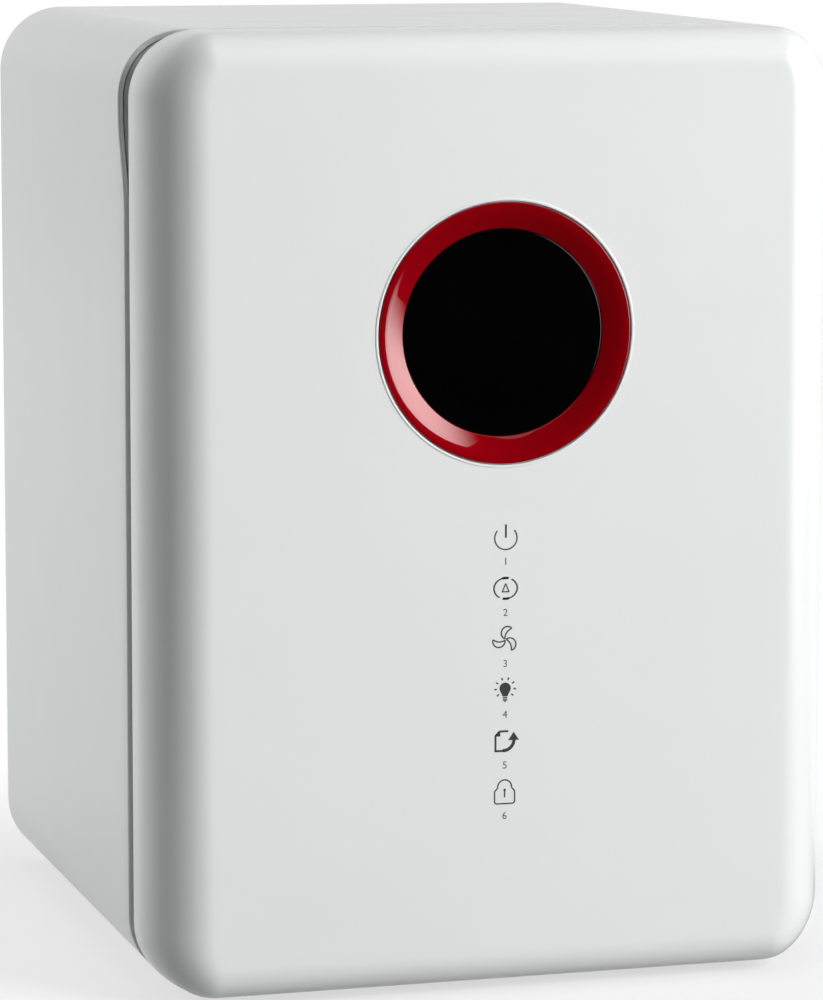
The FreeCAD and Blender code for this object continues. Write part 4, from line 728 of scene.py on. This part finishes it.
class CABINET_OT_symbols(bpy.types.Operator):
    """Print the six touch symbols and their plain figures on the door"""

    bl_idname = "cabinet.symbols"
    bl_label = "Printed key symbols"
    bl_options = {"REGISTER", "UNDO"}

    def place(self, point):
        """Where a point in millimetres from the symbol's middle lies."""
        return self.middle + Vector((point[0], 0, point[1])) * MM

    def arc(self, centre, radius, start, sweep, width=None):
        """A round stroke about a centre, in millimetres and degrees anticlockwise from +X."""
        angle = math.radians(start)
        at = (centre[0] + radius * math.cos(angle), centre[1] + radius * math.sin(angle))
        sign = 1 if sweep > 0 else -1
        heading = Vector((-math.sin(angle), 0, math.cos(angle))) * sign
        pen = Sweep.pen(self.bm, width or self.width, self.place(at), heading, FORWARDS)
        pen.bend(radius * MM, FORWARDS * sign, math.radians(abs(sweep)), max(4, int(abs(sweep) / 9)))

    def line(self, start, end, width=None):
        way = Vector((end[0] - start[0], 0, end[1] - start[1])) * MM
        pen = Sweep.pen(self.bm, width or self.width, self.place(start), way.normalized(), FORWARDS)
        pen.run(way.length)

    def filled(self, *points):
        self.bm.faces.new([self.bm.verts.new(self.place(point)) for point in points])

    def power(self):
        self.arc((0, -0.4), 5.1, 139, 262)
        self.line((0, -0.3), (0, 5.6), self.width * 1.4)

    def cycle(self):
        for start in (75, -105):
            self.arc((0, 0), 4.6, start, 165)
            self.arc((0, 0), 4.6, start, 32, self.width * 1.7)
        bmesh.ops.scale(self.bm, vec=(1.16, 1, 1), verts=self.bm.verts,
                        space=Matrix.Translation(-self.middle))
        for start, end in (((-1.6, -1.7), (0, 2.1)), ((0, 2.1), (1.6, -1.7)), ((-1.7, -1.5), (1.7, -1.5))):
            self.line(start, end, self.width * 0.9)

    def fan(self):
        blade = ((0.95, 2.85), 2.85, 246, -201), ((4.19, 0.53), 4.4, 183, -75)
        for turn in (0, -120, -240):
            for centre, radius, start, sweep in blade:
                self.arc(turn_by(turn) @ Vector((*centre, 0)), radius, start + turn, sweep)

    def dot(self, up, radius, sides=28):
        """A filled round, a hair in front of the rest so that they never share a plane."""
        ahead = self.place((0, up)) + FORWARDS * 0.02 * MM
        bmesh.ops.create_circle(self.bm, segments=sides, radius=radius * MM, cap_ends=True,
                                matrix=stand(ahead, FORWARDS))

    def bulb(self):
        self.dot(0.9, 2.6)
        self.filled((-2.2, -0.4), (2.2, -0.4), (1.05, -2.7), (-1.05, -2.7))
        for up in (-3.3, -4.2):
            self.line((-1.05, up), (1.05, up))
        self.filled((-0.6, -4.6), (0.6, -4.6), (0.25, -5.2), (-0.25, -5.2))
        middle = Vector((0, 0.9))
        for number in range(8):
            turn = math.radians(-42 + 37.7 * number)
            way = Vector((math.cos(turn), math.sin(turn)))
            self.line(middle + way * 3.8, middle + way * 5.0, self.width * 1.1)

    def store(self):
        thick = self.width * 1.45
        self.line((1.6, 4.4), (-2.4, 4.4), thick)
        self.line((-2.4, 4.5), (-4.4, 2.4), thick)
        self.line((-4.3, 2.7), (-4.3, -4.6), thick)
        self.line((-4.7, -4.3), (-0.4, -4.3), thick)
        self.filled((-4.4, 2.2), (-2.1, 2.2), (-2.1, 4.6))
        self.arc((-0.6, 0.6), 4.8, -95, 92, self.width * 2.4)
        self.filled((1.5, 0.3), (6.5, 0.3), (4.0, 4.0))

    def lock(self):
        self.line((-3.5, -5.3), (3.5, -5.3))
        for side, start in ((-1, 180), (1, 270)):
            self.line((4.6 * side, 0.3), (4.6 * side, -4.2))
            self.arc((3.5 * side, -4.2), 1.1, start, 90)
            self.line((4.6 * side, 0.2), (3.1 * side, 1.9))
        self.arc((0, 2.1), 3.2, -2, 184)
        self.line((0, 0.6), (0, -2.5))
        self.dot(0.8, 0.6, 16)

    def figure(self, number, front):
        """A plain figure under a symbol."""
        thick, below_symbol = 0.06 * MM, 12.2 * MM
        text = bpy.data.curves.new(f"figure_{number}", "FONT")
        text.body = str(number)
        text.size = 4.6 * MM
        text.align_x = "CENTER"
        text.extrude = thick
        holder = bpy.data.objects.new(f"figure_{number}", text)
        bpy.context.scene.collection.objects.link(holder)
        bpy.context.view_layer.update()
        depsgraph = bpy.context.evaluated_depsgraph_get()
        mesh = bpy.data.meshes.new_from_object(holder.evaluated_get(depsgraph))
        bpy.data.objects.remove(holder)
        place = Vector((self.middle.x, front + thick, self.middle.z - below_symbol))
        mesh.transform(stand(place, FORWARDS))
        bm = bmesh.new()
        bm.from_mesh(mesh)
        add_piece(f"key_figure_{number}", bm, "door", "ink", slot="dark_plastic")

    def execute(self, context):
        sizes = context.scene.cabinet_sizes
        self.width = sizes.stroke
        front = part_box("door_shell")[0].y + FACE_BACK - 0.05 * MM
        drawings = (self.power, self.cycle, self.fan, self.bulb, self.store, self.lock)
        for number, draw in enumerate(drawings[:sizes.keys]):
            self.bm = bmesh.new()
            self.middle = Vector((0.5 * MM, front, sizes.key_first - number * sizes.key_pitch))
            draw()
            add_print(f"key_symbol_{draw.__name__}", self.bm)
            self.figure(number + 1, front)
        return {"FINISHED"}


def pierced_sheet(bm, corners, rounds, openings, thickness):
    """A flat sheet with rounded corners and openings, each a list of edges; thickness is a vector."""
    edges = outline_of(bm, corners, rounds)
    faces = bmesh.ops.triangle_fill(bm, use_beauty=True, edges=edges + openings)["geom"]
    faces = [face for face in faces if isinstance(face, bmesh.types.BMFace)]
    raised = bmesh.ops.extrude_face_region(bm, geom=faces, use_keep_orig=True)["geom"]
    moved = [item for item in raised if isinstance(item, bmesh.types.BMVert)]
    bmesh.ops.translate(bm, verts=moved, vec=thickness)


def boxes_in(node):
    """The boxes of a CAD node's separate solids."""
    bm = bmesh.new()
    bm.from_mesh(frame["nodes"][node].data)
    bmesh.ops.remove_doubles(bm, verts=bm.verts, dist=0.005 * MM)
    todo = set(bm.verts)
    boxes = []
    while todo:
        reached = [todo.pop()]
        for vert in reached:
            near = {edge.other_vert(vert) for edge in vert.link_edges} & todo
            todo -= near
            reached.extend(near)
        places = [frame["nodes"][node].matrix_world @ vert.co for vert in reached]
        boxes.append(tuple(Vector(pick(axis) for axis in zip(*places)) for pick in (min, max)))
    bm.free()
    return sorted(boxes, key=lambda box: tuple(box[0]))


class CABINET_OT_racks(bpy.types.Operator):
    """Bend and weld the two wire racks, the lower one with its plate prongs"""

    bl_idname = "cabinet.racks"
    bl_label = "Wire racks"
    bl_options = {"REGISTER", "UNDO"}

    def execute(self, context):
        bar, thin, corner, wires = 2 * MM, 1.25 * MM, 12 * MM, 8
        centre_height, runner_drop = 2.65 * MM, 1.4 * MM
        for name, prongs in (("upper_rack", False), ("lower_rack", True)):
            low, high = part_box(name)
            bm = bmesh.new()
            side, front, rear = high.x - bar, low.y + bar, high.y - bar
            level = low.z + centre_height
            rim = Sweep.wire(bm, bar, (0, front, level), (1, 0, 0), sides=14)
            rim.run(side - corner)
            depth = rear - front - 2 * corner
            for distance in (depth, 2 * (side - corner), depth, side - corner):
                rim.bend(corner, (0, 0, 1), QUARTER, steps=8)
                rim.run(distance)
            for across in (-side / 2, side / 2):
                runner = level - runner_drop
                straight_wire(bm, (across, front, runner), (across, rear, runner), thin)
            for number in range(wires):
                along = front + (rear - front) * (number + 1) / (wires + 1)
                straight_wire(bm, (-side, along, level), (side, along, level), thin)
                if prongs and 0 < number < wires - 1:
                    for across in (-side / 2, side / 2):
                        straight_wire(bm, (across, along, level), (across, along, high.z), thin)
            add_piece(f"{name}_wires", bm, name, "bright_wire", name)
        return {"FINISHED"}


class CABINET_OT_lamps(bpy.types.Operator):
    """Turn the lamps' tubes and caps, coil their filaments and make their guards"""

    bl_idname = "cabinet.lamps"
    bl_label = "Lamps and guards"
    bl_options = {"REGISTER", "UNDO"}

    def tube(self, name, low, high):
        middle, radius = (low + high) / 2, (high.z - low.z) / 2
        bore, end, lip = radius - 1.1 * MM, high.x, 0.3 * MM
        bm = bmesh.new()
        profile = [(bore, -end), (radius, -end), (radius, end), (bore, end)]
        turn_profile(bm, middle, (1, 0, 0), profile, [0, lip, lip, 0], steps=40)
        add_piece(f"{name}_glass", bm, "cabinet", "lamp_glass", f"{name}_tube")
        bm = bmesh.new()
        reach, from_end, lead, thread, coil_radius = 2.4 * MM, 9 * MM, 0.35 * MM, 0.2 * MM, 0.9 * MM
        turns, steps = 6, 84
        for sign in (-1, 1):
            inner = middle + Vector((sign * (end - from_end), 0, 0))
            outer = middle + Vector((sign * end, 0, 0))
            for up in (Vector((0, 0, -reach)), Vector((0, 0, reach))):
                straight_wire(bm, outer + up, inner + up, lead, sides=8)
            start = inner + Vector((coil_radius, 0, -reach))
            coil = round_opening(bm, start, (0, 1, 0), thread, segments=6)
            bmesh.ops.spin(bm, geom=coil + verts_of(coil), cent=inner, axis=(0, 0, 1),
                           angle=2 * turns * math.pi, steps=steps, dvec=(0, 0, 2 * reach / steps))
        add_piece(f"{name}_filaments", bm, "cabinet", "zinc_steel")

    def caps(self, name, low, high):
        middle, radius = (low + high) / 2, (high.y - low.y) / 2
        length, groove, from_end = 7 * MM, 0.35 * MM, 13 * MM
        pin, pin_offset, pin_length, sunk = 1.02 * MM, 2.5 * MM, 6.2 * MM, 0.2 * MM
        profile = [(0, 0), (radius, 0), (radius, 2 * MM), (radius - groove, 2.4 * MM), (radius, 2.8 * MM),
                   (radius, length), (0, length)]
        rounds = [0, 0, 0.2 * MM, 0.2 * MM, 0.2 * MM, 0.9 * MM, 0]
        bm = bmesh.new()
        for sign in (-1, 1):
            start = middle + Vector((sign * (high.x - from_end), 0, 0))
            turn_profile(bm, start, (sign, 0, 0), profile, rounds, steps=40)
            for up in (-pin_offset, pin_offset):
                root = start + Vector((sign * (length - sunk), 0, up))
                straight_wire(bm, root, root + Vector((sign * pin_length, 0, 0)), pin)
        add_piece(f"{name}_end_caps", bm, "cabinet", "aluminium", f"{name}_caps")

    def guard(self, name, tube_low, tube_high):
        low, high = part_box(f"{name}_guard")
        middle = (tube_low + tube_high) / 2
        hole, sheet, corner_round = 8.95 * MM, 1.2 * MM, 2 * MM
        wire, from_tube, overlap = 0.86 * MM, 11.3 * MM, 0.2 * MM
        ahead, aside = (FORWARDS, Vector((0, 0, 1))) if name.startswith("rear") else (
            Vector((0, 0, -1)), Vector((0, 1, 0)))
        bm = bmesh.new()
        for sign in (-1, 1):
            side = sign * high.x
            corners = [Vector((side, low.y, low.z)), Vector((side, high.y, low.z)),
                       Vector((side, high.y, high.z)), Vector((side, low.y, high.z))]
            opening = round_opening(bm, Vector((side, middle.y, middle.z)), (1, 0, 0), hole)
            rounds = [corner_round if (corner - middle).dot(ahead) > 0 else 0 for corner in corners]
            pierced_sheet(bm, corners, rounds, opening, (-sign * sheet, 0, 0))
        end = Vector((high.x - overlap, 0, 0))
        for swing in (-0.9, 0, 0.9):
            away = middle + (ahead * math.cos(swing) + aside * math.sin(swing)) * from_tube
            straight_wire(bm, away - end, away + end, wire)
        add_piece(f"{name}_guard_wires", bm, "cabinet", "bright_wire", f"{name}_guard")

    def execute(self, context):
        for name in ("top_lamp", "rear_lamp"):
            low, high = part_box(f"{name}_tube")
            self.tube(name, low, high)
            self.caps(name, *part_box(f"{name}_caps"))
            self.guard(name, low, high)
        return {"FINISHED"}


class CABINET_OT_screws(bpy.types.Operator):
    """Put a cross-recessed screw in the place of each plain one that can be seen"""

    bl_idname = "cabinet.screws"
    bl_label = "Screws"
    bl_options = {"REGISTER", "UNDO"}
    # each node's body, the way that its screws face and their heads' height in millimetres
    seen = {"back_panel_screws": ("cabinet", (0, 1, 0), 1.3), "foot_screws": ("cabinet", (0, 0, -1), 1.4),
            "frame_screws": ("cabinet", (0, -1, 0), 1.0), "door_hinge_screws": ("door", (0, 1, 0), 1.0),
            "liner_screws": ("door", (0, 1, 0), 1.4)}

    def screw(self, bm, low, high, facing, head):
        """Pan head with a cross recess at the facing end of a box, and a shank behind it."""
        facing = Vector(facing)
        size = high - low
        across = [size[axis] for axis in range(3) if not facing[axis]]
        radius, length = max(across) / 2, abs(size.dot(facing))
        before = set(bm.verts)
        rim = round_opening(bm, (0, 0, -head), (0, 0, 1), radius, segments=28)
        bmesh.ops.edgeloop_fill(bm, edges=rim)
        for up, share in ((-0.45, 1.0), (-0.2, 0.95), (-0.05, 0.86), (0.0, 0.74)):
            rim = draw_out(bm, rim)
            for vert in verts_of(rim):
                way = (vert.co * Vector((1, 1, 0))).normalized()
                vert.co = way * radius * share + Vector((0, 0, up * head))
        arm, wide, shank = 0.56 * radius, 0.15 * radius, 1.25 * MM
        points = [(wide, wide), (arm, wide), (arm, -wide), (wide, -wide), (wide, -arm), (-wide, -arm),
                  (-wide, -wide), (-arm, -wide), (-arm, wide), (-wide, wide), (-wide, arm), (wide, arm)]
        cross = outline_of(bm, [(x, y, 0) for x, y in points], [0] * 12)
        bmesh.ops.triangle_fill(bm, use_beauty=True, edges=rim + cross)
        floor = draw_out(bm, cross)
        for vert in verts_of(floor):
            vert.co = vert.co * 0.8 - Vector((0, 0, 0.65 * head))
        bmesh.ops.edgeloop_fill(bm, edges=floor)
        straight_wire(bm, (0, 0, -head), (0, 0, -length), shank, sides=16)
        top = (low + high) / 2 + facing * length / 2
        made = [vert for vert in bm.verts if vert not in before]
        bmesh.ops.transform(bm, matrix=stand(top, facing), verts=made)

    def execute(self, context):
        for node, (body, facing, head) in self.seen.items():
            bm = bmesh.new()
            for low, high in boxes_in(node):
                self.screw(bm, low, high, facing, head * MM)
            add_piece(f"{node}_crossed", bm, body, "zinc_steel", node)
        return {"FINISHED"}


class CABINET_OT_fan(bpy.types.Operator):
    """Turn the fan's hub and twist its seven blades"""

    bl_idname = "cabinet.fan"
    bl_label = "Fan rotor"
    bl_options = {"REGISTER", "UNDO"}

    def execute(self, context):
        low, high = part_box("fan_impeller")
        housing_low, housing_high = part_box("fan_housing")
        middle = Vector((0, low.y, (housing_low.z + housing_high.z) / 2))
        hub, tip, depth = 16 * MM, 36.9 * MM, high.y - low.y
        wall, face, blades = 1.5 * MM, 2 * MM, 7
        bm = bmesh.new()
        profile = [(0, 0), (hub, 0), (hub, depth), (hub - wall, depth), (hub - wall, face), (wall, face),
                   (wall, depth), (0, depth)]
        rounds = [0, 1.6 * MM, 0.3 * MM, 0.3 * MM, 0.8 * MM, 0, 0.4 * MM, 0]
        turn_profile(bm, middle, (0, 1, 0), profile, rounds, steps=64)
        done = set(bm.verts)
        home = bm.verts.layers.float_vector.new("home")
        section = [(-1, 0), (-0.5, -0.9), (0.2, -0.8), (1, 0), (0.2, 0.35), (-0.5, 0.45)]
        edges = outline_of(bm, [(0, x, y) for x, y in section], [0.02] * 6, 2)
        for vert in verts_of(edges):
            vert[home] = vert.co
        steps, sunk, half_thick, lean, flattened = 10, 0.6 * MM, 0.9 * MM, 3 * MM, 0.8
        first = edges
        for step in range(steps + 1):
            share = step / steps
            radius = hub - sunk + (tip - hub + sunk) * share
            # wider and more twisted towards the tip, whose last quarter is cut back
            pitch = math.radians(38 + 20 * share)
            chord = (8.6 + 3.2 * share - 3.4 * max(0.0, share - 0.75) * 4 * share) * MM
            if step:
                edges = draw_out(bm, edges)
            for vert in verts_of(edges):
                _, lengthways, thick = vert[home]
                thick *= half_thick
                back = lengthways * chord * math.cos(pitch) + thick * math.sin(pitch)
                round_way = lengthways * chord * math.sin(pitch) - thick * math.cos(pitch) + share * lean
                angle = round_way / radius
                vert.co = middle + Vector((radius * math.cos(angle), depth / 2 + back * flattened,
                                           radius * math.sin(angle)))
        for ring in (first, edges):
            bmesh.ops.edgeloop_fill(bm, edges=ring)
        blade = [vert for vert in bm.verts if vert not in done]
        faces = {face for vert in blade for face in vert.link_faces}
        bmesh.ops.spin(bm, geom=[*blade, *edges_of(blade), *faces], cent=middle, axis=(0, 1, 0),
                       angle=2 * math.pi * (blades - 1) / blades, steps=blades - 1, use_duplicate=True)
        add_piece("fan_rotor", bm, "fan_impeller", "dark_plastic", "fan_impeller")
        return {"FINISHED"}


class CABINET_OT_soft_parts(bpy.types.Operator):
    """Mould the door's gasket and the rubber feet"""

    bl_idname = "cabinet.soft_parts"
    bl_label = "Gasket and feet"
    bl_options = {"REGISTER", "UNDO"}

    def execute(self, context):
        low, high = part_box("door_gasket")
        bm = bmesh.new()
        skin = Skin(bm, low, high, corner=23 * MM, segments=12)
        skin.settle()
        base, tip = low.y + 4 * MM, high.y
        skin.put(low.y, 0, 0)
        profile = [(base - 0.6 * MM, 0), (base - 0.15 * MM, 0.15 * MM), (base, 0.6 * MM), (base, 1.3 * MM),
                   (base + 0.6 * MM, 1.7 * MM), (tip - 1.4 * MM, 1.6 * MM)]
        profile += [(tip - 1.2 * MM * (1 - math.sin(angle)), 2.8 * MM - 1.2 * MM * math.cos(angle))
                    for angle in (math.pi * number / 8 for number in range(9))]
        profile += [(tip - 1.4 * MM, 4.0 * MM), (base + 0.6 * MM, 3.9 * MM), (base, 4.3 * MM),
                    (base, 5.4 * MM), (base - 0.15 * MM, 5.85 * MM), (base - 0.6 * MM, 6 * MM),
                    (low.y, 6 * MM)]
        for along, inset in profile:
            skin.ring(along, inset)
        skin.join_ends()
        add_piece("door_gasket_ring", bm, "door", "silicone", "door_gasket")
        bm = bmesh.new()
        bore, head, seat = 1.7 * MM, 3.5 * MM, 2 * MM
        for low, high in boxes_in("rubber_feet"):
            radius, height = min(high.x - low.x, high.y - low.y) / 2, high.z - low.z
            middle = (low + high) / 2 * Vector((1, 1, 0)) + Vector((0, 0, low.z))
            profile = [(bore, height), (bore, seat), (head, seat), (head, 0), (radius - 1.1 * MM, 0),
                       (radius, 1.6 * MM), (radius, height)]
            rounds = [0, 0, 0.2 * MM, 0.5 * MM, 0.7 * MM, 0.5 * MM, 0.3 * MM]
            turn_profile(bm, middle, (0, 0, 1), profile, rounds, steps=48)
        add_piece("rubber_feet_turned", bm, "cabinet", "black_rubber", "rubber_feet")
        return {"FINISHED"}


class CABINET_OT_tray(bpy.types.Operator):
    """Press the drip tray, with a rolled rim, floor beads and a lip to pull"""

    bl_idname = "cabinet.tray"
    bl_label = "Drip tray"
    bl_options = {"REGISTER", "UNDO"}

    def execute(self, context):
        low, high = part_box("drip_tray")
        lip, wall, bend = 5 * MM, 1.2 * MM, 3 * MM
        bm = bmesh.new()
        body_low = Vector((low.x, low.y + lip, low.z))
        skin = Skin(bm, body_low, high, corner=10 * MM, segments=10, along="z")
        skin.settle()
        skin.put(low.z, bend, bend)
        for out, up in quarter_steps(5):
            skin.ring(low.z + bend * up, bend * (1 - out))
        for drop, inset in ((0.4, 0.0), (0.1, 0.1), (0.0, 0.35), (0.0, 0.85), (0.1, 1.1), (0.4, 1.2)):
            skin.ring(high.z - drop * MM, inset * MM)
        floor = low.z + MM
        for out, up in [(0.0, 0.0), *quarter_steps(5)]:
            skin.ring(floor + bend * (1 - out), wall + bend * up)
        skin.cap_ends()
        bead, radius, pitch = floor - 0.4 * MM, 1.3 * MM, 26 * MM
        for number in range(-3, 4):
            start, end = (number * pitch, low.y + 28 * MM, bead), (number * pitch, high.y - 22 * MM, bead)
            straight_wire(bm, start, end, radius, sides=16)
        side, root = 30 * MM, body_low.y + MM
        corners = [(-side, low.y, high.z), (side, low.y, high.z), (side, root, high.z), (-side, root, high.z)]
        pierced_sheet(bm, corners, [3 * MM, 3 * MM, 0, 0], [], (0, 0, -wall))
        add_piece("drip_tray_pressed", bm, "drip_tray", "stainless", "drip_tray")
        return {"FINISHED"}


class CABINET_OT_plain_nodes(bpy.types.Operator):
    """Soften the edges of the remaining construction pieces and give each its finish"""

    bl_idname = "cabinet.plain_nodes"
    bl_label = "Remaining pieces"
    bl_options = {"REGISTER", "UNDO"}
    # millimetres, where it is not the usual 0.25
    edge_width = {"door_liner": 0.9, "front_frame": 0.6, "chamber_wrap": 0.3, "filter_cover": 0.5,
                  "mains_inlet": 0.4, "chamber_back": 0.2, "top_reflector": 0.2}
    left_sharp = ("back_panel",)  # its long thin triangles would crease

    def execute(self, context):
        slots = {part["node"]: part["material_slot"] for part in frame["record"]["subparts"]}
        for name, node in frame["nodes"].items():
            node.data.materials.clear()
            node.data.materials.append(finish_of(slots[name]))
            if node.hide_render or name in self.left_sharp:
                continue
            weld = node.modifiers.new("weld", "WELD")
            weld.merge_threshold = MERGE
            bevel = node.modifiers.new("edges", "BEVEL")
            bevel.width = self.edge_width.get(name, 0.25) * MM
            bevel.segments = 2
            bevel.limit_method = "ANGLE"
            bevel.angle_limit = math.radians(40)
            bevel.harden_normals = True
        return {"FINISHED"}


# ---------------------------------------------------------------- stage
# name, azimuth and elevation in degrees, distance, width and height in metres, radiance
LAMPS = (
    ("key_box", 57, 16, 4.0, 3.4, 3.4, 1.9),
    ("front_box", 37, 16, 4.0, 1.5, 3.4, 8.7),
    ("rear_box", -135, 15, 3.6, 1.6, 2.6, 6.9),
    ("top_box", 0, 88, 2.4, 1.6, 1.6, 1.4),
)


class CABINET_OT_stage(bpy.types.Operator):
    """Set the floor, the lamps, the world and the camera"""

    bl_idname = "cabinet.stage"
    bl_label = "Studio"
    bl_options = {"REGISTER", "UNDO"}

    def floor(self):
        bm = bmesh.new()
        bmesh.ops.create_grid(bm, x_segments=1, y_segments=1, size=12)
        floor = self.sheet("floor", bm)
        finish = Finish("floor", {"Roughness": 0.8, "Specular IOR Level": 0.0})
        seen = finish.seen()
        finish.vary("Base Color", finish.tint(seen, (0.4, 0.4, 0.4, 1), (0.95, 0.95, 0.95, 1)))
        away = finish.vector("LENGTH", finish.place(), output="Value")
        white = finish.add("ShaderNodeEmission", {}, {"Color": (1, 1, 1, 1), "Strength": 1.0})
        lit = Value(finish, finish.surface.outputs[0])
        # nearly two thirds plain white under the cabinet, and all of it from 0.45 m off
        share = away.spread(0.2, 0.45, 0.62, 1.0) * seen
        mixed = finish.add("ShaderNodeMixShader", {}, {0: share, 1: lit, 2: white})
        finish.put(finish.nodes["Material Output"].inputs["Surface"], mixed)
        floor.data.materials.append(finish.material)

    def sheet(self, name, bm):
        """A plain sheet of the studio's, from a bmesh."""
        mesh = bpy.data.meshes.new(name)
        bm.to_mesh(mesh)
        bm.free()
        sheet = bpy.data.objects.new(name, mesh)
        bpy.context.scene.collection.objects.link(sheet)
        return sheet

    def reflected_side(self, name, profile, first, last, strength):
        """What only reflections show of the studio: a profile of (distance, height) turned through an arc."""
        bm = bmesh.new()
        places = [bm.verts.new(turn_by(first) @ Vector((0, -distance, height)))
                  for distance, height in profile]
        edges = [bm.edges.new(pair) for pair in zip(places, places[1:])]
        bmesh.ops.spin(bm, geom=edges + places, cent=(0, 0, 0), axis=(0, 0, 1),
                       angle=math.radians(last - first), steps=24)
        side = self.sheet(name, bm)
        finish = Finish(name, {"Base Color": (0.01, 0.01, 0.01, 1), "Roughness": 1.0,
                               "Specular IOR Level": 0.0, "Emission Strength": strength})
        if strength:
            # it glows most where the door's round mirrors it, and fades within 34 degrees of there
            door, azimuth, rise = Vector((0, -0.155, 0.29)), 57, math.radians(11)
            way = turn_by(azimuth) @ Vector((0, -math.cos(rise), math.sin(rise)))
            ray = finish.vector("SUBTRACT", finish.place(), door)
            share = finish.vector("DOT_PRODUCT", finish.vector("NORMALIZE", ray), way, output="Value")
            glow = finish.tint(share.spread(0.83, 0.985), (0, 0, 0, 1), (1, 1, 1, 1))
            finish.vary("Emission Color", glow)
        side.data.materials.append(finish.material)
        side.visible_camera = side.visible_diffuse = side.visible_shadow = side.visible_transmission = False

    def lamp(self, name, azimuth, elevation, distance, width, height, radiance):
        """A soft box that looks at the cabinet; azimuth is from the front, positive to the right."""
        light = bpy.data.lights.new(name, "AREA")
        light.shape = "RECTANGLE"
        light.size = width
        light.size_y = height
        light.energy = radiance * math.pi * width * height
        turn, rise = math.radians(azimuth), math.radians(elevation)
        way = Vector((math.sin(turn) * math.cos(rise), -math.cos(turn) * math.cos(rise), math.sin(rise)))
        aim = Vector((0, 0, 0.2))
        lamp = bpy.data.objects.new(name, light)
        lamp.location = aim + way * distance
        lamp.rotation_euler = way.to_track_quat("Z", "Y").to_euler()
        lamp.visible_glossy = False
        bpy.context.scene.collection.objects.link(lamp)

    def world(self, ambient):
        """A white room that hardly lights: only the camera, reflections and glass see it white."""
        world = bpy.data.worlds.new("studio")
        bpy.context.scene.world = world
        tree = Tree(world)
        background = tree.nodes["Background"]
        background.inputs["Color"].default_value = (1, 1, 1, 1)
        tree.put(background.inputs["Strength"], tree.seen().larger(ambient))

    def camera(self):
        """Stand the camera to the left of the door and a little above it; angles in radians."""
        yaw, pitch, roll = 0.28825, 0.14334, 0.0021
        focal_pixels, long_side, sensor = 4572.0, 1000.0, 36.0
        camera = bpy.data.cameras.new("camera")
        camera.sensor_width = sensor
        camera.lens = focal_pixels / long_side * sensor
        forward = Vector((math.sin(yaw) * math.cos(pitch), math.cos(yaw) * math.cos(pitch), -math.sin(pitch)))
        level = Vector((math.cos(yaw), -math.sin(yaw), 0))
        turn = Matrix.Rotation(-roll, 3, forward)
        axes = Matrix((turn @ level, turn @ level.cross(forward), -forward)).transposed()
        holder = bpy.data.objects.new("camera", camera)
        above_feet = Vector((-0.59803, -2.03356, 0.50049))
        place = above_feet + Vector((0, 0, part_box("outer_casing")[0].z))
        holder.matrix_world = Matrix.Translation(place) @ axes.to_4x4()
        bpy.context.scene.collection.objects.link(holder)
        bpy.context.scene.camera = holder

    def execute(self, context):
        bpy.context.scene.view_settings.view_transform = "Standard"
        self.floor()
        ground = MM
        for name, profile, first, last, strength in (
                ("dark_side", [(0.7, ground), (1.2, ground), (1.2, 1.4)], -78, 34, 0.0),
                ("dark_mat", [(0.2, ground), (1.0, ground)], -34, 92, 0.0),
                ("bright_side", [(1.0, ground), (2.2, ground), (2.2, 2.4)], 24, 92, 7.0)):
            self.reflected_side(name, profile, first, last, strength)
        self.world(ambient=0.1)
        for lamp in LAMPS:
            self.lamp(*lamp)
        self.camera()
        return {"FINISHED"}


# ---------------------------------------------------------------- panel and registration
ORDER = (CABINET_OT_casing, CABINET_OT_door_shell, CABINET_OT_window, CABINET_OT_symbols,
         CABINET_OT_racks, CABINET_OT_lamps, CABINET_OT_screws, CABINET_OT_fan, CABINET_OT_soft_parts,
         CABINET_OT_tray, CABINET_OT_plain_nodes, CABINET_OT_stage)


class CABINET_PT_panel(bpy.types.Panel):
    """Sizes, colours and the makers, in the order in which they run"""

    bl_idname = "CABINET_PT_panel"
    bl_label = "Dish sterilizer cabinet"
    bl_space_type = "VIEW_3D"
    bl_region_type = "UI"
    bl_category = "Cabinet"

    def draw(self, context):
        for group in (context.scene.cabinet_sizes, context.scene.cabinet_colours):
            for name in group.__annotations__:
                self.layout.prop(group, name)
        for maker in ORDER:
            self.layout.operator(maker.bl_idname)


CLASSES = (CabinetSizes, CabinetColours, *ORDER, CABINET_PT_panel)


def register():
    for cls in CLASSES:
        bpy.utils.register_class(cls)
    bpy.types.Scene.cabinet_sizes = PointerProperty(type=CabinetSizes)
    bpy.types.Scene.cabinet_colours = PointerProperty(type=CabinetColours)


def unregister():
    del bpy.types.Scene.cabinet_colours
    del bpy.types.Scene.cabinet_sizes
    for cls in reversed(CLASSES):
        bpy.utils.unregister_class(cls)


def main():
    register()
    for maker in ORDER:
        group, name = maker.bl_idname.split(".")
        getattr(getattr(bpy.ops, group), name)()


if __name__ == "__main__":
    main()
